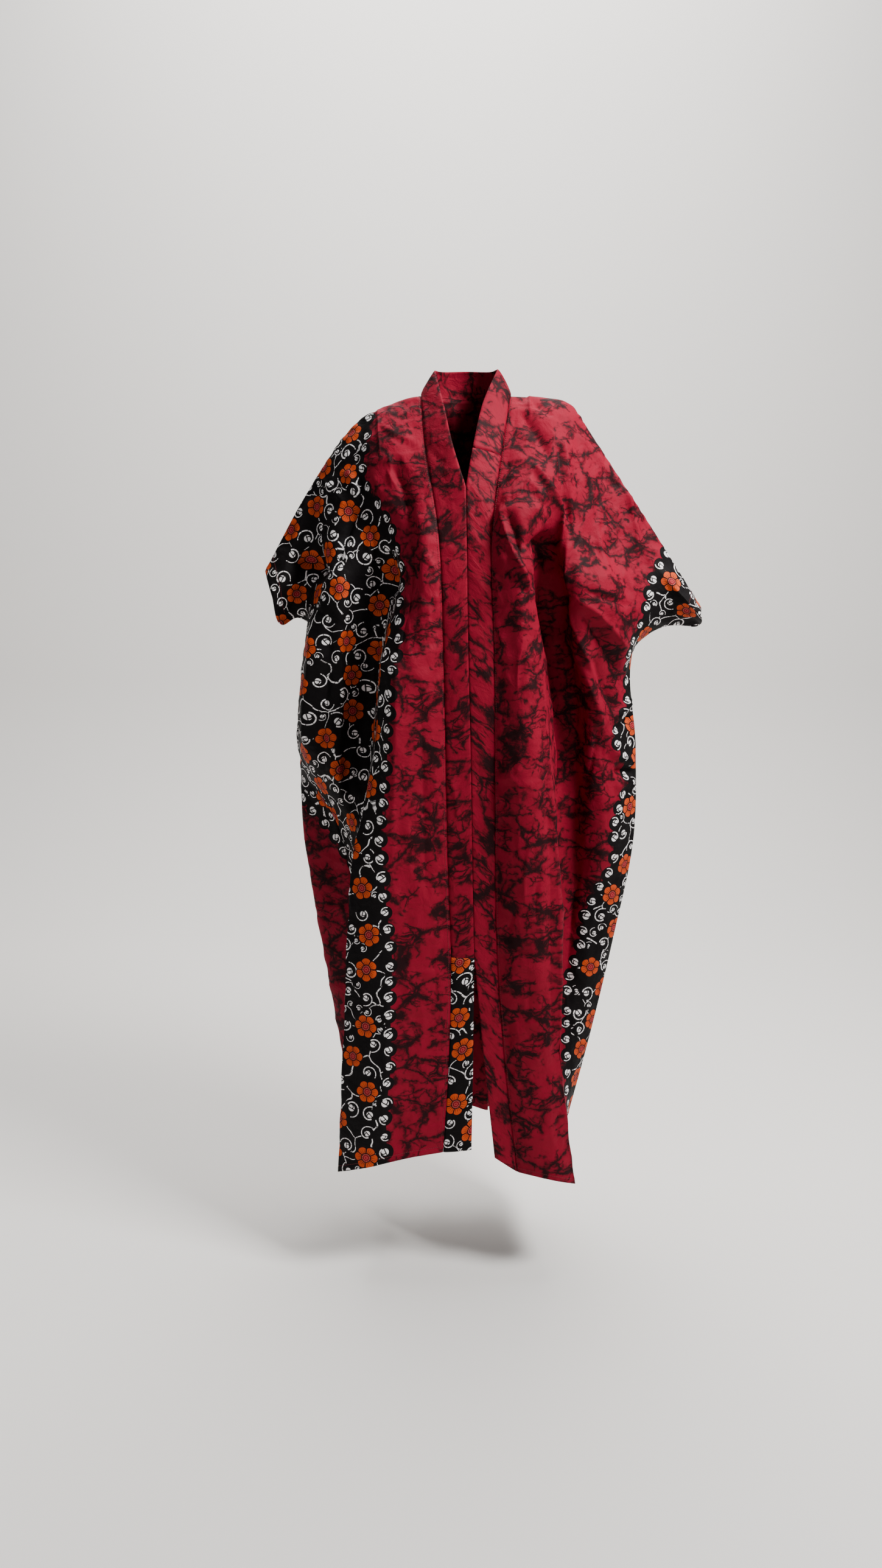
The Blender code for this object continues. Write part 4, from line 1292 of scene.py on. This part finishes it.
def border_print(bench, places, colours):
    """The border's colour, and where it covers the ground."""
    in_mm = {}
    for kind in ("depth", "flower", "curl", "edge"):
        in_mm[kind] = bench.vector("MULTIPLY", bench.add("ShaderNodeUVMap", uv_map=kind), TO_MM)
    depth = bench.split(in_mm["depth"])[0]
    curl, edge = in_mm["curl"], in_mm["edge"]

    bent = bench.vector("MULTIPLY", bench.drifted(places, *VINE_DRIFT), TO_MM)
    vines = bench.below(bench.flat_cells(bent, VINE_CELL), VINE_HALF_WIDTH, SOFT)
    dashes = bench.above(bench.flat_cells(bent, DASH_CELL), *DASH_GAP)
    white = bench.both(vines, dashes, bench.above(depth, INSET + VINE_START, EDGE_SOFT))

    white = bench.both(white, bench.above(bench.length(curl), CURL_ROOM, SOFT))
    white = bench.either(white, spiral(bench, curl, *CURL_STEM), bud(bench, curl, CURL_BUD))

    disc = bench.below(bench.length(edge), EDGE_DISC, SOFT)
    tail = bench.either(spiral(bench, edge, *EDGE_STEM), bud(bench, edge, EDGE_BUD))
    white = bench.both(white, bench.minus(1.0, disc))
    white = bench.either(white, bench.both(disc, tail))

    colour = bench.mix(white, colours["ink"], colours["vine"])
    petals_colour, petals, outline = flower(bench, in_mm["flower"], colours)
    colour = bench.mix(outline, colour, colours["ink"])
    colour = bench.mix(petals, colour, petals_colour)
    return colour, bench.either(bench.above(depth, INSET - EDGE_LINE, EDGE_SOFT), disc)


def smoky_ground(bench, places, colours):
    """Crimson ground with dark smoky cracks, from cloth places in metres."""
    moved = bench.drifted(places, *CRACK_DRIFT)
    stretch = {"Vector": moved, "Rotation": CRACK_LEAN, "Scale": CRACK_STRETCH}
    leaned = bench.add("ShaderNodeMapping", stretch)
    grain = bench.minus(bench.noise(places, *GRAIN), 0.5)
    patch = bench.noise(places, *PATCHES)
    ink, haze = [], []
    for scale, low, high, width, soft, smoke in CRACKS:
        amount = bench.ramp(patch, low, high)
        ragged = bench.times_plus(grain, CRACK_RAGGED, bench.cells(leaned, scale))
        past = bench.minus(ragged, bench.times(amount, width))
        core = bench.ramp(past, -soft * CRACK_CORE, soft, 1.0, 0.0)
        ink.append(bench.both(core, bench.ramp(amount, 0.0, CRACK_START)))
        haze.append(bench.both(bench.ramp(past, 0.0, smoke, SMOKE_DARK, 0.0), amount))
    ground = bench.mix(bench.noise(places, *TINT), colours["ground"], colours["ground_deep"])
    shaded = bench.mix(bench.either(*haze), ground, colours["smoke"])
    return bench.mix(bench.times(bench.either(*ink), CRACK_INK), shaded, colours["ink"])


def printed_cotton(name, with_border):
    """Waxed cotton with its print, crackle and sheen."""
    paint = bpy.context.scene.robe_colours
    colours = {key: tuple(getattr(paint, key)) + (1.0,) for key in paint.__annotations__}
    bench = NodeBench(name)
    places = bench.add("ShaderNodeUVMap", uv_map="ground")
    colour = smoky_ground(bench, places, colours)
    if with_border:
        printed, where = border_print(bench, places, colours)
        colour = bench.mix(where, colour, printed)
    folds = bench.cells(bench.drifted(places, *CRUMPLE_DRIFT), CRUMPLE_CELLS, "F1")
    height = bench.times_plus(bench.noise(places, *WEAVE), WEAVE_HEIGHT, bench.noise(places, *CRUMPLE))
    height = bench.times_plus(folds, CELLS_HEIGHT, height)
    return bench.shade(colour, COTTON_ROUGHNESS, (height, *CRUMPLE_BUMP), COTTON_SHEEN)


def thread(name, colour):
    """Twisted sewing thread."""
    bench = NodeBench(name)
    twist = bench.noise(bench.add("ShaderNodeTexCoord", output=3), *TWIST)
    deep = tuple(channel * THREAD_SHADE for channel in colour) + (1.0,)
    colour = bench.mix(twist, tuple(colour) + (1.0,), deep)
    return bench.shade(colour, THREAD_ROUGHNESS, (twist, *THREAD_BUMP))


MATERIALS = {}


def finish(name):
    """Each finish is made once."""
    if name not in MATERIALS:
        if name == "sewing_thread":
            MATERIALS[name] = thread(name, bpy.context.scene.robe_colours.thread)
        else:
            MATERIALS[name] = printed_cotton(name, name == "printed_panel")
    return MATERIALS[name]


# ---------------------------------------------------------------------------
# Properties
# ---------------------------------------------------------------------------
def number(name, description, default, **more):
    return bpy.props.FloatProperty(name=name, description=description, default=default, **more)


def colour_of(name, description, default):
    return bpy.props.FloatVectorProperty(
        name=name, description=description, subtype="COLOR", default=default)


class RobeCloth(bpy.types.PropertyGroup):
    wall: number("Cloth wall", "Thickness of the visible cloth shell", 0.0011, unit="LENGTH")
    seam_gap: number("Seam gap", "Clear space between two joined pieces", 0.0003, unit="LENGTH")
    crease_strength: number("Crease strength", "Scale on every crease and wave", 2.1, min=0.0, max=3.0)
    hem_turn: number("Hem turn", "Depth of the narrow turned hem", 0.009, unit="LENGTH")
    stitch_length: number("Stitch length", "Length of one stitch", 0.0026, unit="LENGTH")


class RobeColours(bpy.types.PropertyGroup):
    ground: colour_of("Ground", "Crimson of the ground", (0.25, 0.0070, 0.025))
    ground_deep: colour_of("Deep ground", "Darker crimson patches", (0.17, 0.0045, 0.016))
    smoke: colour_of("Smoke", "Haze round the dark cracks", (0.05, 0.002, 0.005))
    ink: colour_of("Ink", "Black of the border and the cracks", (0.006, 0.005, 0.0055))
    petal: colour_of("Petal", "Orange of the flowers", (0.52, 0.062, 0.014))
    ring: colour_of("Ring", "Ring round the flower's heart", (0.42, 0.07, 0.06))
    heart: colour_of("Heart", "Dark red heart of a flower", (0.24, 0.008, 0.018))
    vine: colour_of("Vine", "Off white of the vines and buds", (0.88, 0.84, 0.85))
    thread: colour_of("Thread", "Dark red sewing thread", (0.16, 0.008, 0.014))


class RobeStage(bpy.types.PropertyGroup):
    floor_drop: number("Floor", "Floor below the shoulders", 1.445, unit="LENGTH")
    key_power: number("Key light", "Power of the main soft light", 86.0, unit="POWER")
    fill_power: number("Fill light", "Power of the second soft light", 9.0, unit="POWER")
    wall_power: number("Wall light", "Power of the light on the wall and floor", 172.0, unit="POWER")
    surround: number("Surround", "Strength of the even light all round", 0.08, min=0.0, max=2.0)


# ---------------------------------------------------------------------------
# Operators
# ---------------------------------------------------------------------------
class ROBE_OT_fronts(bpy.types.Operator):
    """Build the right and left front panels, each with its batwing sleeve"""

    bl_idname = "robe.fronts"
    bl_label = "Front panels"

    def execute(self, context):
        for side, flat, area in (("right", (0.56, 1.27), 0.46), ("left", (0.56, 1.28), 0.45)):
            piece = panel_piece("front_panel_" + side, "front_" + side)
            dress(piece, "front_" + side, finish("printed_panel"))
        return {"FINISHED"}


class ROBE_OT_back(bpy.types.Operator):
    """Build the back panel with the back halves of both sleeves"""

    bl_idname = "robe.back"
    bl_label = "Back panel"

    def execute(self, context):
        piece = panel_piece("back_panel", "back")
        dress(piece, "back", finish("printed_panel"))
        return {"FINISHED"}


class ROBE_OT_bands(bpy.types.Operator):
    """Build the neck band, the left front band and the printed tail by the slit"""

    bl_idname = "robe.bands"
    bl_label = "Bands"

    def execute(self, context):
        strip = robe_cloth()["strip"]
        shares = robe_cloth()["back"]["shares"]
        total = len(strip["grid"])
        piecing = strip["rows"] - 1 - int(np.argmin(np.abs(shares - PIECING_SHARE)))
        slit = total - strip["rows"] + int(np.argmin(np.abs(shares - (1.0 + SLIT_ROW))))
        left = band_piece("band_left", 0, piecing)
        dress(left, "front_band_left", finish("plain_band"))
        neck = band_piece("band_neck", piecing, slit)
        dress(neck, "neck_band", finish("plain_band"))
        tail = band_piece("band_tail", slit, total - 1, bordered=True)
        dress(tail, "front_band_tail", finish("printed_panel"))
        return {"FINISHED"}


class ROBE_OT_stitching(bpy.types.Operator):
    """Sew the hems, cuffs and band seams"""

    bl_idname = "robe.stitching"
    bl_label = "Stitching"

    def execute(self, context):
        for name in ("front_right", "front_left", "back"):
            panel = robe_cloth()[name]
            depth = run_along(panel["grid"][::-1], 0)[::-1]
            row = int(np.argmin(np.abs(depth[:, 0] - context.scene.robe_cloth.hem_turn)))
            self.sew("hem_stitches_" + name, panel, np.s_[row, 1:-1])
            cuff = panel["shares"] < CUFF_SHARE
            if name == "back":
                self.sew("cuff_stitches_back_0", panel, (cuff, CUFF_INSET))
            self.sew(f"cuff_stitches_{name}_1", panel, (cuff, -1 - CUFF_INSET))
            if name != "back":
                self.sew("band_stitches_" + name, panel, np.s_[2:-2, BAND_INSET])
        return {"FINISHED"}

    @staticmethod
    def sew(name, panel, line):
        """One row of stitches down or across a panel's grid."""
        length = bpy.context.scene.robe_cloth.stitch_length
        piece = stitch_line(name, panel["grid"][line], panel["normal"][line], length)
        piece.data.materials.append(finish("sewing_thread"))
        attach(piece, "root")


# The stage: each soft light's name, size, place and aim, and the camera.
LIGHTS = (("key", 0.6, (1.15, -0.78, 0.95), (0.1, 0.0, -0.1)),
          ("fill", 1.8, (-2.2, -1.7, 0.4), (0.0, 0.0, -0.6)),
          ("wall", 2.6, (0.0, 1.1, 2.5), (0.0, 2.2, -0.6)))
LIGHT_COLOUR = (1.0, 0.985, 0.96)
SURROUND_COLOUR = (0.93, 0.95, 1.0, 1.0)
BACKDROP_COLOUR = (0.86, 0.84, 0.82, 1.0)
BACKDROP_ROUGHNESS = 0.85
BACKDROP_NEAR = -4.0
BACKDROP_FAR = 2.4
BACKDROP_HALF_WIDTH = 6.0
BACKDROP_HEIGHT = 5.0
BACKDROP_TURN = 0.8                   # radius between the floor and the wall
BACKDROP_STEPS = 12
CAMERA_LENS = 26.0
CAMERA_SENSOR = 36.0
CAMERA_PLACE = (-0.042, -1.88, -0.295)
CAMERA_TILT = 80.0


class ROBE_OT_stage(bpy.types.Operator):
    """Set the floor, the soft lights and the camera"""

    bl_idname = "robe.stage"
    bl_label = "Stage"

    def execute(self, context):
        stage = context.scene.robe_stage
        self.floor(stage)
        self.lights(stage)
        self.camera()
        return {"FINISHED"}

    @staticmethod
    def floor(stage):
        """A floor that curves up into a wall behind."""
        level, turn, far = -stage.floor_drop, BACKDROP_TURN, BACKDROP_FAR
        outline = [(BACKDROP_NEAR, level), (far - turn, level)]
        for k in range(1, BACKDROP_STEPS + 1):
            angle = math.radians(90 * k / BACKDROP_STEPS)
            along, up = turn * math.sin(angle), turn * (1 - math.cos(angle))
            outline.append((far - turn + along, level + up))
        outline.append((far, level + BACKDROP_HEIGHT))
        half = BACKDROP_HALF_WIDTH
        points = [(x, y, z) for y, z in outline for x in (-half, half)]
        faces = [(2 * k, 2 * k + 1, 2 * k + 3, 2 * k + 2) for k in range(len(outline) - 1)]
        mesh = bpy.data.meshes.new("backdrop")
        mesh.from_pydata(points, [], faces)
        mesh.shade_smooth()
        mesh.materials.append(NodeBench("backdrop_paint").shade(BACKDROP_COLOUR, BACKDROP_ROUGHNESS))
        sweep = placed("backdrop", mesh)

    @staticmethod
    def lights(stage):
        world = bpy.data.worlds.new("surround")
        bpy.context.scene.world = world
        world.use_nodes = True
        background = world.node_tree.nodes["Background"]
        background.inputs["Color"].default_value = SURROUND_COLOUR
        background.inputs["Strength"].default_value = stage.surround
        for name, size, place, aim in LIGHTS:
            data = bpy.data.lights.new(name, "AREA")
            data.energy = getattr(stage, name + "_power")
            data.size = size
            data.color = LIGHT_COLOUR
            light = placed(name, data)
            light.location = place
            facing = (Vector(aim) - Vector(place)).to_track_quat("-Z", "Y")
            light.rotation_euler = facing.to_euler()

    @staticmethod
    def camera():
        data = bpy.data.cameras.new("camera")
        data.lens = CAMERA_LENS
        data.sensor_width = CAMERA_SENSOR
        data.sensor_fit = "AUTO"
        camera = placed("camera", data)
        camera.location = CAMERA_PLACE
        camera.rotation_euler = (math.radians(CAMERA_TILT), 0.0, 0.0)
        bpy.context.scene.camera = camera


class ROBE_PT_panel(bpy.types.Panel):
    """Lists the robe's pieces and sizes"""

    bl_idname = "ROBE_PT_panel"
    bl_label = "Grand Boubou Robe"
    bl_space_type = "VIEW_3D"
    bl_region_type = "UI"
    bl_category = "Robe"

    def draw(self, context):
        for operator in OPERATORS:
            self.layout.operator(operator.bl_idname)
        for group in (context.scene.robe_cloth, context.scene.robe_colours, context.scene.robe_stage):
            for key in group.__annotations__:
                self.layout.prop(group, key)


GROUPS = (("robe_cloth", RobeCloth), ("robe_colours", RobeColours), ("robe_stage", RobeStage))
OPERATORS = (ROBE_OT_fronts, ROBE_OT_back, ROBE_OT_bands, ROBE_OT_stitching, ROBE_OT_stage)


def register():
    for name, group in GROUPS:
        bpy.utils.register_class(group)
        setattr(bpy.types.Scene, name, bpy.props.PointerProperty(type=group))
    for operator in OPERATORS:
        bpy.utils.register_class(operator)
    bpy.utils.register_class(ROBE_PT_panel)


def unregister():
    bpy.utils.unregister_class(ROBE_PT_panel)
    for operator in reversed(OPERATORS):
        bpy.utils.unregister_class(operator)
    for name, group in reversed(GROUPS):
        delattr(bpy.types.Scene, name)
        bpy.utils.unregister_class(group)


def main():
    register()
    bpy.ops.robe.fronts()
    bpy.ops.robe.back()
    bpy.ops.robe.bands()
    bpy.ops.robe.stitching()
    bpy.ops.robe.stage()


if __name__ == "__main__":
    main()
